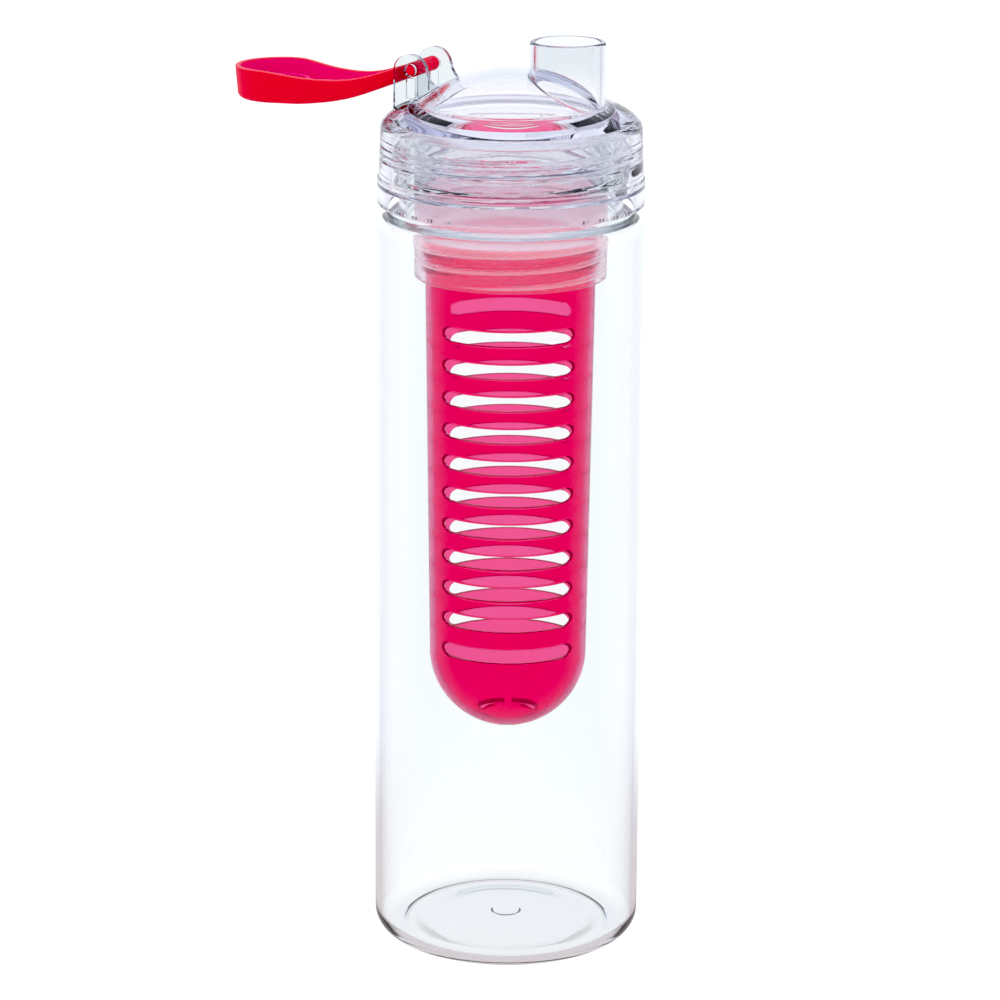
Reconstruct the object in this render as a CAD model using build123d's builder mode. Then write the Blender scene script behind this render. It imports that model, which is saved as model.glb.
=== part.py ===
from build123d import *
import math
import os

# Fruit infuser water bottle. Millimetres, +Z up, origin at the centre of the resting face.
# +X runs from the hinge lugs towards the drinking spout, Y is the hinge direction.

# ---------------------------------------------------------------- driving dimensions
# bottle
body_r = 36.5            # outside of the straight body
body_wall = 1.75
base_corner_r = 6.0      # outside corner between base and wall
base_pushup = 2.6        # how far the middle of the base stands above the table
base_wall = 2.0
shoulder_z = 197.2       # where the straight wall ends
neck_z = 201.3           # underside of the support bead
bead_r = 33.5
bead_top_z = 203.3
neck_r = 29.9            # thread root
bore_r = 27.9
rim_z = 224.6            # top of the neck

# neck thread, right hand
neck_pitch = 4.2
neck_crest_r = 31.4
neck_thread_z0 = 208.9
neck_thread_h = 12.0
lid_crest_r = 30.25
lid_thread_h = 6.3

# lid
skirt_z = 205.05
skirt_r = 35.67
flare_z = 212.4
band_low_r = 35.3
band_top_r = 34.85
band_top_z = 226.2
lid_bore_r = 32.0
skirt_bore_r = 32.9
ceiling_z = 226.8
plug_r = 26.0            # outside of the inner tube, above the collar
stub_r = 24.0            # outside of the inner tube where the collar sits
stub_bore_r = 22.5
tube_bore_r = 24.6       # inside of the tube above the stub
stub_z = 197.5
tube_step_z = 209.4       # where the tube narrows to the stub, just above the collar
dome_ring_r = 24.4
dome_ring_z = 232.4
dome_top_z = 241.0
dome_wall = 2.1
groove_w = 1.45
groove_d = 0.5
groove_z = (221.5, 217.85)

# spout
spout_x = 15.96
spout_r = 10.1
spout_bore_r = 8.58
spout_z = 249.4          # overall height

# hinge lugs
hinge_x = -25.94
hinge_z = 239.75
lug_y = 7.6              # mid-plane of each lug
lug_t = 1.7
lug_r = 4.75
lug_top = 4.3            # hole centre to the top of the lug
hole_r = 1.65

# collar
collar_r = 25.75
collar_bore_r = 24.1
collar_z = 185.6
collar_top_z = 209.3
snap_z = 199.8
snap_w = 1.5
snap_d = 0.35

# basket
basket_top_z = 197.0
basket_top_r = 23.0
basket_low_r = 21.45
basket_wall = 1.5
basket_dome_z = 81.05    # where the wall turns into the hemisphere
basket_pitch = 4.2
basket_crest_r = 23.65
collar_crest_r = 23.3
collar_thread_z0 = 186.7
collar_thread_h = 9.3
basket_thread_h = 8.4
collar_thread_az = -81.8  # direction in which the collar's thread starts
slot_n = 11
slot_top_z = 172.67
slot_pitch = 8.795
slot_w = 33.5
slot_h = 3.8
slot_az = 22.2           # direction that the slots face, from -Y towards +X
drain_r = 8.0
drain_w = 2.0
drain_arc = 62.0

# seal
seal_in_r = 26.2
seal_out_r = 31.0

# spout cap, in its own plane: u from the hinge outwards, w across its depth
cap_reach = spout_x - hinge_x   # hinge to the centre of the hood
hood_r = 12.9
cap_wall = 1.4
roof_t = 1.5
knuckle_r = 1.95
knuckle_half = 6.4
nub_r = 1.25
nub_end = 8.3
cap_plug_root_r = 8.3
cap_plug_end_r = 7.4
cap_draft = 5.0          # degrees, the hood narrows towards its roof
cap_plug_wall = 1.3
cap_roof = 11.35         # hinge axis to the outside of the roof
cap_plug_end = 6.0       # hinge axis to the free end of the plug

os.makedirs("parts", exist_ok=True)

# ---------------------------------------------------------------- bottle body
c45 = math.cos(math.radians(45))
cr = base_corner_r
foot_r = body_r - cr
in_r = body_r - body_wall
in_cr = 4.6
floor_z = base_wall

with BuildPart() as bottle_body:
    with BuildSketch(Plane.XZ) as body_profile:
        with BuildLine():
            # underside: gate mark, pushed-up floor, contact ring
            Line((0, base_pushup - 0.4), (3.6, base_pushup - 0.4))
            Line((3.6, base_pushup - 0.4), (4.2, base_pushup))
            Spline((4.2, base_pushup), (16.0, base_pushup * 0.86), (24.0, base_pushup * 0.50),
                   (28.6, 0.0), tangents=[(1, -0.02), (1, -0.75)])
            Line((28.6, 0), (foot_r, 0))
            ThreePointArc((foot_r, 0), (foot_r + cr * c45, cr - cr * c45), (body_r, cr))
            Line((body_r, cr), (body_r, shoulder_z))
            # shoulder and support bead
            Spline((body_r, shoulder_z), (35.75, 199.9), (33.9, neck_z),
                   tangents=[(0, 1), (-1, 0.25)])
            Line((33.9, neck_z), (bead_r, neck_z + 0.12))
            Line((bead_r, neck_z + 0.12), (bead_r, bead_top_z - 0.5))
            ThreePointArc((bead_r, bead_top_z - 0.5), (bead_r - 0.15, bead_top_z - 0.15),
                          (bead_r - 0.5, bead_top_z))
            Line((bead_r - 0.5, bead_top_z), (neck_r + 0.6, bead_top_z))
            ThreePointArc((neck_r + 0.6, bead_top_z), (neck_r + 0.18, bead_top_z + 0.18),
                          (neck_r, bead_top_z + 0.6))
            Line((neck_r, bead_top_z + 0.6), (neck_r, rim_z - 0.4))
            Line((neck_r, rim_z - 0.4), (neck_r - 0.4, rim_z))
            Line((neck_r - 0.4, rim_z), (bore_r + 0.4, rim_z))
            Line((bore_r + 0.4, rim_z), (bore_r, rim_z - 0.4))
            # inside
            Line((bore_r, rim_z - 0.4), (bore_r, 203.2))
            Spline((bore_r, 203.2), (28.75, 201.5), (30.7, 200.75), (33.0, 199.95),
                   (34.25, 198.8), (in_r, 196.9), tangents=[(0, -1), (0, -1)])
            Line((in_r, 196.9), (in_r, floor_z + in_cr))
            ThreePointArc((in_r, floor_z + in_cr),
                          (in_r - in_cr + in_cr * c45, floor_z + in_cr - in_cr * c45),
                          (in_r - in_cr, floor_z))
            Spline((in_r - in_cr, floor_z), (24.0, floor_z + base_pushup * 0.52),
                   (16.0, floor_z + base_pushup * 0.88), (0, floor_z + base_pushup),
                   tangents=[(-1, 0.05), (-1, 0)])
            Line((0, floor_z + base_pushup), (0, base_pushup - 0.4))
        make_face()
    revolve(axis=Axis.Z)
    # external thread of the neck
    with BuildLine() as neck_path:
        Helix(neck_pitch, neck_thread_h, neck_r - 0.3, center=(0, 0, neck_thread_z0))
    with BuildSketch(Plane(origin=neck_path.line @ 0, x_dir=(1, 0, 0),
                           z_dir=neck_path.line % 0)) as neck_thread_profile:
        with BuildLine():
            Polyline((0, -1.3), (neck_crest_r - neck_r + 0.3, -0.5),
                     (neck_crest_r - neck_r + 0.3, 0.5), (0, 1.3), close=True)
        make_face()
    sweep(sections=neck_thread_profile.sketch, path=neck_path.line, is_frenet=True)
bottle_body.part.label = "bottle_body"
export_step(bottle_body.part, "parts/bottle_body.step")

# ---------------------------------------------------------------- lid
dome_h = dome_top_z - dome_ring_z
dome_sr = (dome_ring_r ** 2 + dome_h ** 2) / (2 * dome_h)
dome_cz = dome_top_z - dome_sr
in_sr = dome_sr - dome_wall


def dome_z(r, radius):
    return dome_cz + math.sqrt(radius ** 2 - r ** 2)


with BuildPart() as lid:
    with BuildSketch(Plane.XZ) as lid_profile:
        with BuildLine():
            ThreePointArc((0, dome_top_z), (13.0, dome_z(13.0, dome_sr)),
                          (dome_ring_r, dome_ring_z))
            # small step ring, then the shoulder
            Line((dome_ring_r, dome_ring_z), (dome_ring_r + 0.5, dome_ring_z - 0.45))
            Spline((dome_ring_r + 0.5, dome_ring_z - 0.45), (28.4, 231.1), (31.9, 229.25),
                   (33.9, 227.6), (band_top_r, band_top_z - 0.6),
                   tangents=[(1, -0.12), (0.1, -1)])
            Line((band_top_r, band_top_z - 0.6), (band_low_r - 0.03, flare_z + 0.35))
            Line((band_low_r - 0.03, flare_z + 0.35), (skirt_r - 0.02, flare_z))
            Line((skirt_r - 0.02, flare_z), (skirt_r, skirt_z + 0.5))
            ThreePointArc((skirt_r, skirt_z + 0.5), (skirt_r - 0.15, skirt_z + 0.15),
                          (skirt_r - 0.5, skirt_z))
            Line((skirt_r - 0.5, skirt_z), (skirt_bore_r, skirt_z))
            Line((skirt_bore_r, skirt_z), (skirt_bore_r, 209.6))
            Line((skirt_bore_r, 209.6), (lid_bore_r, 210.5))
            Line((lid_bore_r, 210.5), (lid_bore_r, ceiling_z))
            Line((lid_bore_r, ceiling_z), (plug_r, ceiling_z))
            Line((plug_r, ceiling_z), (plug_r, tube_step_z))
            Line((plug_r, tube_step_z), (stub_r, tube_step_z))
            # snap bead of the stub
            Line((stub_r, tube_step_z), (stub_r, snap_z + snap_w / 2))
            Line((stub_r, snap_z + snap_w / 2), (stub_r + snap_d, snap_z + 0.25))
            Line((stub_r + snap_d, snap_z + 0.25), (stub_r + snap_d, snap_z - 0.25))
            Line((stub_r + snap_d, snap_z - 0.25), (stub_r, snap_z - snap_w / 2))
            Line((stub_r, snap_z - snap_w / 2), (stub_r - 0.3, stub_z))
            Line((stub_r - 0.3, stub_z), (stub_bore_r, stub_z))
            Line((stub_bore_r, stub_z), (stub_bore_r, 209.6))
            Line((stub_bore_r, 209.6), (tube_bore_r, 212.2))
            Line((tube_bore_r, 212.2), (tube_bore_r, dome_z(tube_bore_r, in_sr)))
            ThreePointArc((tube_bore_r, dome_z(tube_bore_r, in_sr)),
                          (12.0, dome_z(12.0, in_sr)), (0, dome_z(0, in_sr)))
            Line((0, dome_z(0, in_sr)), (0, dome_top_z))
        make_face()
    revolve(axis=Axis.Z)
    # two ring grooves round the band
    with BuildSketch(Plane.XZ) as groove_profile:
        for gz in groove_z:
            rr = band_low_r - (gz - flare_z) / (band_top_z - flare_z) * (band_low_r - band_top_r)
            with BuildLine():
                Polyline((rr + 0.6, gz - groove_w / 2 - 0.1), (rr, gz - groove_w / 2),
                         (rr - groove_d, gz - groove_w / 2 + 0.4),
                         (rr - groove_d, gz + groove_w / 2 - 0.4),
                         (rr, gz + groove_w / 2), (rr + 0.6, gz + groove_w / 2 + 0.1), close=True)
            make_face()
    revolve(axis=Axis.Z, mode=Mode.SUBTRACT)
    # hinge lugs, standing on the shoulder
    for side in (1, -1):
        with BuildSketch(Plane.XZ.offset(-side * lug_y)) as lug_profile:
            with BuildLine():
                hx, hz = hinge_x, hinge_z
                Line((hx - lug_r, hz), (hx - lug_r, 229.2))
                Line((hx - lug_r, 229.2), (hx + 11.5, 229.6))
                Line((hx + 11.5, 229.6), (hx + 9.0, hz - 5.2))
                Spline((hx + 9.0, hz - 5.2), (hx + 6.3, hz - 2.9),
                       (hx + lug_r * 0.985, hz + 0.8), tangents=[(-1, 0.45), (-0.25, 1)])
                ThreePointArc((hx + lug_r * 0.985, hz + 0.8), (hx, hz + lug_top),
                              (hx - lug_r, hz))
            make_face()
        extrude(amount=lug_t / 2, both=True)
    # hinge holes, and the vertical relief below each on the inner face
    with BuildSketch(Plane.XZ) as hole_profile:
        with Locations((hinge_x, hinge_z)):
            Circle(hole_r)
    extrude(amount=lug_y + lug_t, both=True, mode=Mode.SUBTRACT)
    for side in (1, -1):
        with BuildSketch(Plane.XZ.offset(-side * (lug_y - lug_t / 2))) as relief_profile:
            with Locations((hinge_x, hinge_z - 4.7)):
                Rectangle(2.6, 5.6)
        extrude(amount=-side * 0.8, mode=Mode.SUBTRACT)
    # drinking spout
    with BuildSketch(Plane.XY.offset(231.5)) as spout_profile:
        with Locations((spout_x, 0)):
            Circle(spout_r)
    extrude(amount=spout_z - 231.5)
    # the tube stops at the underside of the dome, inside the lid
    with BuildSketch(Plane.XZ) as lid_inside_profile:
        with BuildLine():
            ThreePointArc((0, dome_z(0, in_sr)), (12.0, dome_z(12.0, in_sr)),
                          (tube_bore_r, dome_z(tube_bore_r, in_sr)))
            Line((tube_bore_r, dome_z(tube_bore_r, in_sr)), (tube_bore_r, 220.0))
            Line((tube_bore_r, 220.0), (0, 220.0))
            Line((0, 220.0), (0, dome_z(0, in_sr)))
        make_face()
    revolve(axis=Axis.Z, mode=Mode.SUBTRACT)
    with BuildSketch(Plane.XY.offset(spout_z)) as spout_cut_profile:
        with Locations((spout_x, 0)):
            Circle(spout_bore_r)
    extrude(amount=-21.0, mode=Mode.SUBTRACT)
    spout_rim = (lid.edges().filter_by(GeomType.CIRCLE)
                 .filter_by(lambda e: abs(e.center().Z - spout_z) < 0.01))
    fillet(spout_rim, radius=0.45)
lid_blank = lid.part

with BuildPart() as lid_full:
    add(lid_blank)
    # internal thread, half a pitch away from the thread of the neck
    with BuildLine() as lid_path:
        Helix(neck_pitch, lid_thread_h, lid_bore_r + 0.3,
              center=(0, 0, neck_thread_z0 + neck_pitch * 1.5))
    with BuildSketch(Plane(origin=lid_path.line @ 0, x_dir=(-1, 0, 0),
                           z_dir=lid_path.line % 0)) as lid_thread_profile:
        with BuildLine():
            Polyline((0, -1.25), (lid_bore_r + 0.3 - lid_crest_r, -0.45),
                     (lid_bore_r + 0.3 - lid_crest_r, 0.45), (0, 1.25), close=True)
        make_face()
    sweep(sections=lid_thread_profile.sketch, path=lid_path.line, is_frenet=True)
lid_full.part.label = "lid"
export_step(lid_full.part, "parts/lid.step")

# ---------------------------------------------------------------- seal
with BuildPart() as lid_seal:
    with BuildSketch(Plane.XZ) as seal_profile:
        with BuildLine():
            Polyline((seal_in_r, rim_z + 0.35), (seal_in_r + 0.35, rim_z),
                     (seal_out_r - 0.35, rim_z), (seal_out_r, rim_z + 0.35),
                     (seal_out_r, ceiling_z - 0.35), (seal_out_r - 0.35, ceiling_z),
                     (seal_in_r + 0.35, ceiling_z), (seal_in_r, ceiling_z - 0.35), close=True)
        make_face()
    revolve(axis=Axis.Z)
lid_seal.part.label = "lid_seal"
export_step(lid_seal.part, "parts/lid_seal.step")

# ---------------------------------------------------------------- collar
with BuildPart() as collar_thread:
    with BuildLine() as collar_path:
        Helix(basket_pitch, collar_thread_h, collar_bore_r + 0.3,
              center=(0, 0, collar_thread_z0))
    with BuildSketch(Plane(origin=collar_path.line @ 0, x_dir=(-1, 0, 0),
                           z_dir=collar_path.line % 0)) as collar_thread_profile:
        with BuildLine():
            Polyline((0, -0.95), (collar_bore_r + 0.3 - collar_crest_r, -0.4),
                     (collar_bore_r + 0.3 - collar_crest_r, 0.4), (0, 0.95), close=True)
        make_face()
    sweep(sections=collar_thread_profile.sketch, path=collar_path.line, is_frenet=True)

with BuildPart() as infuser_collar:
    with BuildSketch(Plane.XZ) as collar_profile:
        with BuildLine():
            Line((collar_bore_r, collar_z), (collar_r - 1.3, collar_z))
            ThreePointArc((collar_r - 1.3, collar_z),
                          (collar_r - 1.3 + 1.3 * c45, collar_z + 1.3 - 1.3 * c45),
                          (collar_r, collar_z + 1.3))
            Line((collar_r, collar_z + 1.3), (collar_r, collar_top_z - 0.4))
            Line((collar_r, collar_top_z - 0.4), (collar_r - 0.4, collar_top_z))
            Line((collar_r - 0.4, collar_top_z), (collar_bore_r, collar_top_z))
            # groove for the snap bead
            Line((collar_bore_r, collar_top_z), (collar_bore_r, snap_z + snap_w / 2 + 0.1))
            Line((collar_bore_r, snap_z + snap_w / 2 + 0.1),
                 (collar_bore_r + snap_d, snap_z + 0.35))
            Line((collar_bore_r + snap_d, snap_z + 0.35), (collar_bore_r + snap_d, snap_z - 0.35))
            Line((collar_bore_r + snap_d, snap_z - 0.35),
                 (collar_bore_r, snap_z - snap_w / 2 - 0.1))
            Line((collar_bore_r, snap_z - snap_w / 2 - 0.1), (collar_bore_r, collar_z))
        make_face()
    revolve(axis=Axis.Z)
    add(collar_thread.part, rotation=(0, 0, collar_thread_az))
infuser_collar.part.label = "infuser_collar"
export_step(infuser_collar.part, "parts/infuser_collar.step")

# ---------------------------------------------------------------- basket
low_in = basket_low_r - basket_wall
top_in = basket_top_r - basket_wall
with BuildPart() as basket_thread:
    with BuildLine() as basket_path:
        Helix(basket_pitch, basket_thread_h, basket_top_r - 0.5,
              center=(0, 0, collar_thread_z0))
    with BuildSketch(Plane(origin=basket_path.line @ 0, x_dir=(1, 0, 0),
                           z_dir=basket_path.line % 0)) as basket_thread_profile:
        with BuildLine():
            Polyline((0, -0.9), (basket_crest_r - basket_top_r + 0.5, -0.4),
                     (basket_crest_r - basket_top_r + 0.5, 0.4), (0, 0.9), close=True)
        make_face()
    sweep(sections=basket_thread_profile.sketch, path=basket_path.line, is_frenet=True)

with BuildPart() as infuser_basket:
    with BuildSketch(Plane.XZ) as basket_profile:
        with BuildLine():
            ThreePointArc((0, basket_dome_z - basket_low_r),
                          (basket_low_r * c45, basket_dome_z - basket_low_r * c45),
                          (basket_low_r, basket_dome_z))
            Line((basket_low_r, basket_dome_z), (basket_top_r, basket_top_z - 0.4))
            Line((basket_top_r, basket_top_z - 0.4), (basket_top_r - 0.4, basket_top_z))
            Line((basket_top_r - 0.4, basket_top_z), (top_in + 0.4, basket_top_z))
            Line((top_in + 0.4, basket_top_z), (top_in, basket_top_z - 0.4))
            Line((top_in, basket_top_z - 0.4), (low_in, basket_dome_z))
            ThreePointArc((low_in, basket_dome_z),
                          (low_in * c45, basket_dome_z - low_in * c45),
                          (0, basket_dome_z - low_in))
            Line((0, basket_dome_z - low_in), (0, basket_dome_z - basket_low_r))
        make_face()
    revolve(axis=Axis.Z)
    # slots through the front and the back wall
    sa = math.radians(slot_az)
    slot_plane = Plane(origin=(0, 0, slot_top_z - (slot_n - 1) * slot_pitch / 2),
                       x_dir=(math.cos(sa), math.sin(sa), 0),
                       z_dir=(math.sin(sa), -math.cos(sa), 0))
    with BuildSketch(slot_plane) as slot_profile:
        with GridLocations(1, slot_pitch, 1, slot_n):
            SlotOverall(slot_w, slot_h)
    extrude(amount=30, both=True, mode=Mode.SUBTRACT)
    # arc drain slots round the bottom
    with BuildSketch(Plane.XY.offset(basket_dome_z - basket_low_r - 2)) as drain_profile:
        for k in range(4):
            a0 = math.radians(slot_az + 90 * k + 45)
            h = math.radians(drain_arc / 2)
            with BuildLine():
                ro, ri = drain_r + drain_w / 2, drain_r - drain_w / 2
                ThreePointArc((ro * math.cos(a0 - h), ro * math.sin(a0 - h)),
                              (ro * math.cos(a0), ro * math.sin(a0)),
                              (ro * math.cos(a0 + h), ro * math.sin(a0 + h)))
                Line((ro * math.cos(a0 + h), ro * math.sin(a0 + h)),
                     (ri * math.cos(a0 + h), ri * math.sin(a0 + h)))
                ThreePointArc((ri * math.cos(a0 + h), ri * math.sin(a0 + h)),
                              (ri * math.cos(a0), ri * math.sin(a0)),
                              (ri * math.cos(a0 - h), ri * math.sin(a0 - h)))
                Line((ri * math.cos(a0 - h), ri * math.sin(a0 - h)),
                     (ro * math.cos(a0 - h), ro * math.sin(a0 - h)))
            make_face()
    extrude(amount=10, mode=Mode.SUBTRACT)
    # external thread, half a pitch away from the thread of the collar
    add(basket_thread.part, rotation=(0, 0, collar_thread_az + 180))
infuser_basket.part.label = "infuser_basket"
export_step(infuser_basket.part, "parts/infuser_basket.step")

# ---------------------------------------------------------------- spout cap
# Modelled open, as it hangs level behind the lid with its rim upwards: a point (u, w) of
# the cap lies at x = hinge_x - u, z = hinge_z - w.


def cap_pt(u, w):
    return (hinge_x - u, hinge_z - w)


far_u = cap_reach + hood_r
arm_u, arm_v = 5.8, 6.1


def teardrop(inset):
    # half outline of the plan: straight arm end, tangent line, round hood
    rr = hood_r - inset
    v0 = arm_v - inset
    d = cap_reach - arm_u
    tilt = math.atan2(0, 1) + math.asin((rr - v0) / math.hypot(d, 0.0))
    ut = cap_reach - rr * math.sin(tilt)
    vt = rr * math.cos(tilt)
    return ut, vt, v0, rr


draft_in = math.tan(math.radians(cap_draft)) * (16 - 2.45)

with BuildPart() as cap_outer:
    ut, vt, v0, rr = teardrop(draft_in)
    with BuildSketch(Plane.XY.offset(hinge_z - 16)) as plan_profile:
        with BuildLine():
            Line((hinge_x, -v0), (hinge_x - arm_u, -v0))
            Line((hinge_x - arm_u, -v0), (hinge_x - ut, -vt))
            ThreePointArc((hinge_x - ut, -vt), (hinge_x - cap_reach - rr, 0), (hinge_x - ut, vt))
            Line((hinge_x - ut, vt), (hinge_x - arm_u, v0))
            Line((hinge_x - arm_u, v0), (hinge_x, v0))
            Line((hinge_x, v0), (hinge_x, -v0))
        make_face()
    extrude(amount=30, taper=-cap_draft)
    with BuildSketch(Plane.XZ) as side_profile:
        with BuildLine():
            Spline(cap_pt(0.0, 1.9), cap_pt(2.5, 2.85), cap_pt(6.1, 4.35), cap_pt(12.1, 6.85),
                   cap_pt(17.5, 8.8), cap_pt(23.0, 10.15), cap_pt(28.5, 10.95),
                   cap_pt(34.0, cap_roof), tangents=[(-1, -0.33), (-1, 0)])
            Line(cap_pt(34.0, cap_roof), cap_pt(far_u + 1, cap_roof))
            Line(cap_pt(far_u + 1, cap_roof), cap_pt(far_u + 1, 2.45))
            Spline(cap_pt(far_u + 1, 2.45), cap_pt(47.0, 2.45), cap_pt(42.0, 2.55),
                   cap_pt(36.6, 3.2), cap_pt(31.0, 3.9), cap_pt(25.7, 4.15), cap_pt(20.5, 4.0),
                   cap_pt(15.0, 3.1), cap_pt(10.0, 1.6), cap_pt(6.0, 0.3), cap_pt(2.5, -1.0),
                   cap_pt(0.0, -1.9), tangents=[(1, 0), (1, 0.35)])
            Line(cap_pt(0.0, -1.9), cap_pt(0.0, 1.9))
        make_face()
    extrude(amount=20, both=True, mode=Mode.INTERSECT)
cap_shape = cap_outer.part

with BuildPart() as cap_cavity:
    ut, vt, v0, rr = teardrop(draft_in + cap_wall)
    with BuildSketch(Plane.XY.offset(hinge_z - 16)) as cavity_plan:
        with BuildLine():
            Line((hinge_x - 4.6, -v0), (hinge_x - arm_u, -v0))
            Line((hinge_x - arm_u, -v0), (hinge_x - ut, -vt))
            ThreePointArc((hinge_x - ut, -vt), (hinge_x - cap_reach - rr, 0), (hinge_x - ut, vt))
            Line((hinge_x - ut, vt), (hinge_x - arm_u, v0))
            Line((hinge_x - arm_u, v0), (hinge_x - 4.6, v0))
            Line((hinge_x - 4.6, v0), (hinge_x - 4.6, -v0))
        make_face()
    extrude(amount=30, taper=-cap_draft)
    with BuildSketch(Plane.XZ) as cavity_side:
        with BuildLine():
            Spline(cap_pt(4.6, 1.9), cap_pt(7.0, 3.05), cap_pt(12.1, 5.2),
                   cap_pt(17.5, 7.1), cap_pt(23.0, 8.5), cap_pt(28.5, 9.4),
                   cap_pt(34.0, cap_roof - roof_t), tangents=[(-1, -0.45), (-1, 0)])
            Line(cap_pt(34.0, cap_roof - roof_t), cap_pt(far_u + 1, cap_roof - roof_t))
            Line(cap_pt(far_u + 1, cap_roof - roof_t), cap_pt(far_u + 1, -10))
            Line(cap_pt(far_u + 1, -10), cap_pt(4.6, -10))
            Line(cap_pt(4.6, -10), cap_pt(4.6, 1.9))
        make_face()
    extrude(amount=20, both=True, mode=Mode.INTERSECT)
cavity_shape = cap_cavity.part

with BuildPart() as spout_cap:
    add(cap_shape)
    add(cavity_shape, mode=Mode.SUBTRACT)
    # stopper plug: a short cup, slightly conical so that it swings into the spout
    with BuildSketch(Plane(origin=(hinge_x - cap_reach, 0, hinge_z), x_dir=(1, 0, 0),
                           z_dir=(0, -1, 0))) as cap_plug_profile:
        with BuildLine():
            root_w = -(cap_roof - roof_t) - 0.3
            end_w = -cap_plug_end
            Polyline((cap_plug_root_r - cap_plug_wall, root_w), (cap_plug_root_r, root_w),
                     (cap_plug_end_r + 0.1, end_w - 0.5), (cap_plug_end_r - 0.4, end_w),
                     (cap_plug_end_r - cap_plug_wall + 0.3, end_w),
                     (cap_plug_end_r - cap_plug_wall, end_w - 0.3), close=True)
        make_face()
    revolve(axis=Axis((hinge_x - cap_reach, 0, 0), (0, 0, 1)))
    # knuckle and the two hinge nubs
    with BuildSketch(Plane.XZ) as knuckle_profile:
        with Locations((hinge_x, hinge_z)):
            Circle(knuckle_r)
    extrude(amount=knuckle_half, both=True)
    with BuildSketch(Plane.XZ) as nub_profile:
        with Locations((hinge_x, hinge_z)):
            Circle(nub_r)
    extrude(amount=nub_end, both=True)
spout_cap.part.label = "spout_cap"
export_step(spout_cap.part, "parts/spout_cap.step")
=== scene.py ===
import bpy
import bmesh
import math
import numpy as np
from mathutils import Matrix, Vector


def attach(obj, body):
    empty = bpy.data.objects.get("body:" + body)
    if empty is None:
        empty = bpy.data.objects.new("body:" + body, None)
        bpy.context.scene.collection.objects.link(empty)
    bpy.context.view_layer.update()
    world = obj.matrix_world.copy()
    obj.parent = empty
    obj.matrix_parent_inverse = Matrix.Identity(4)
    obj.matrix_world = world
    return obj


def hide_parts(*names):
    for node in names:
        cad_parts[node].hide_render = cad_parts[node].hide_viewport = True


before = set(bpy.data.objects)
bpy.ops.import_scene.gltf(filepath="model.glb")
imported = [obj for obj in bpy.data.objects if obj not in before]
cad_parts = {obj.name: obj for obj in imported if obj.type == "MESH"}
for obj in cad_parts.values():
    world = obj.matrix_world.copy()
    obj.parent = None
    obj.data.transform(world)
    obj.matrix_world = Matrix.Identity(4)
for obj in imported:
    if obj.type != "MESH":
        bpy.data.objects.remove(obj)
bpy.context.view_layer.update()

TAU = 2 * math.pi
MM = 0.001
T_AZ = math.radians(-81.8)           # where the collar's thread starts
# basket: rim height, radius at the rim and at the round end, wall, where the round end starts
B_TOP, B_RT, B_RL, B_W, B_DZ = 197.0, 23.0, 21.45, 1.5, 81.05

# ------------------------------------------------------------------ camera
AZ, DIST, HEIGHT = math.radians(23.731), 1029.439, 409.324
PITCH, ROLL = math.radians(15.551), math.radians(0.422)
F_PX, CX, CY = 3928.181, 508.859, 499.668


def make_camera():
    right = Vector((math.cos(AZ), math.sin(AZ), 0))
    level = Vector((-math.sin(AZ), math.cos(AZ), 0))
    up = Vector((0, 0, 1))
    fwd = level * math.cos(PITCH) - up * math.sin(PITCH)
    upc = up * math.cos(PITCH) + level * math.sin(PITCH)
    r2 = right * math.cos(ROLL) + upc * math.sin(ROLL)
    u2 = -right * math.sin(ROLL) + upc * math.cos(ROLL)
    place = Vector((math.sin(AZ) * DIST, -math.cos(AZ) * DIST, HEIGHT)) * MM
    data = bpy.data.cameras.new("camera")
    data.sensor_width = 36.0
    data.lens = F_PX * 36.0 / 1000.0
    data.shift_x = -(CX - 500.0) / 1000.0
    data.shift_y = (CY - 500.0) / 1000.0
    data.clip_start, data.clip_end = 0.05, 50
    obj = bpy.data.objects.new("camera", data)
    bpy.context.scene.collection.objects.link(obj)
    m = Matrix((r2, u2, -fwd)).transposed().to_4x4()
    m.translation = place
    obj.matrix_world = m
    bpy.context.scene.camera = obj


make_camera()

scene = bpy.context.scene
scene.view_settings.view_transform = 'Standard'
scene.view_settings.look = 'None'
scene.view_settings.exposure = 0.0
scene.view_settings.gamma = 1.0
scene.view_settings.use_curve_mapping = True
levels = scene.view_settings.curve_mapping
levels.black_level = (0.045, 0.045, 0.045)
levels.white_level = (0.86, 0.86, 0.86)
levels.update()
scene.cycles.max_bounces = 32
scene.cycles.transmission_bounces = 32
scene.cycles.glossy_bounces = 12
scene.cycles.diffuse_bounces = 6
scene.cycles.transparent_max_bounces = 32
scene.cycles.volume_bounces = 2
scene.cycles.blur_glossy = 0.0
scene.cycles.caustics_reflective = True
scene.cycles.caustics_refractive = True
scene.cycles.sample_clamp_indirect = 4.0
scene.cycles.sample_clamp_direct = 8.0


# ------------------------------------------------------------------ curve helpers
def unit(v):
    v = np.array(v, float)
    return v / np.hypot(v[0], v[1])


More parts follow.
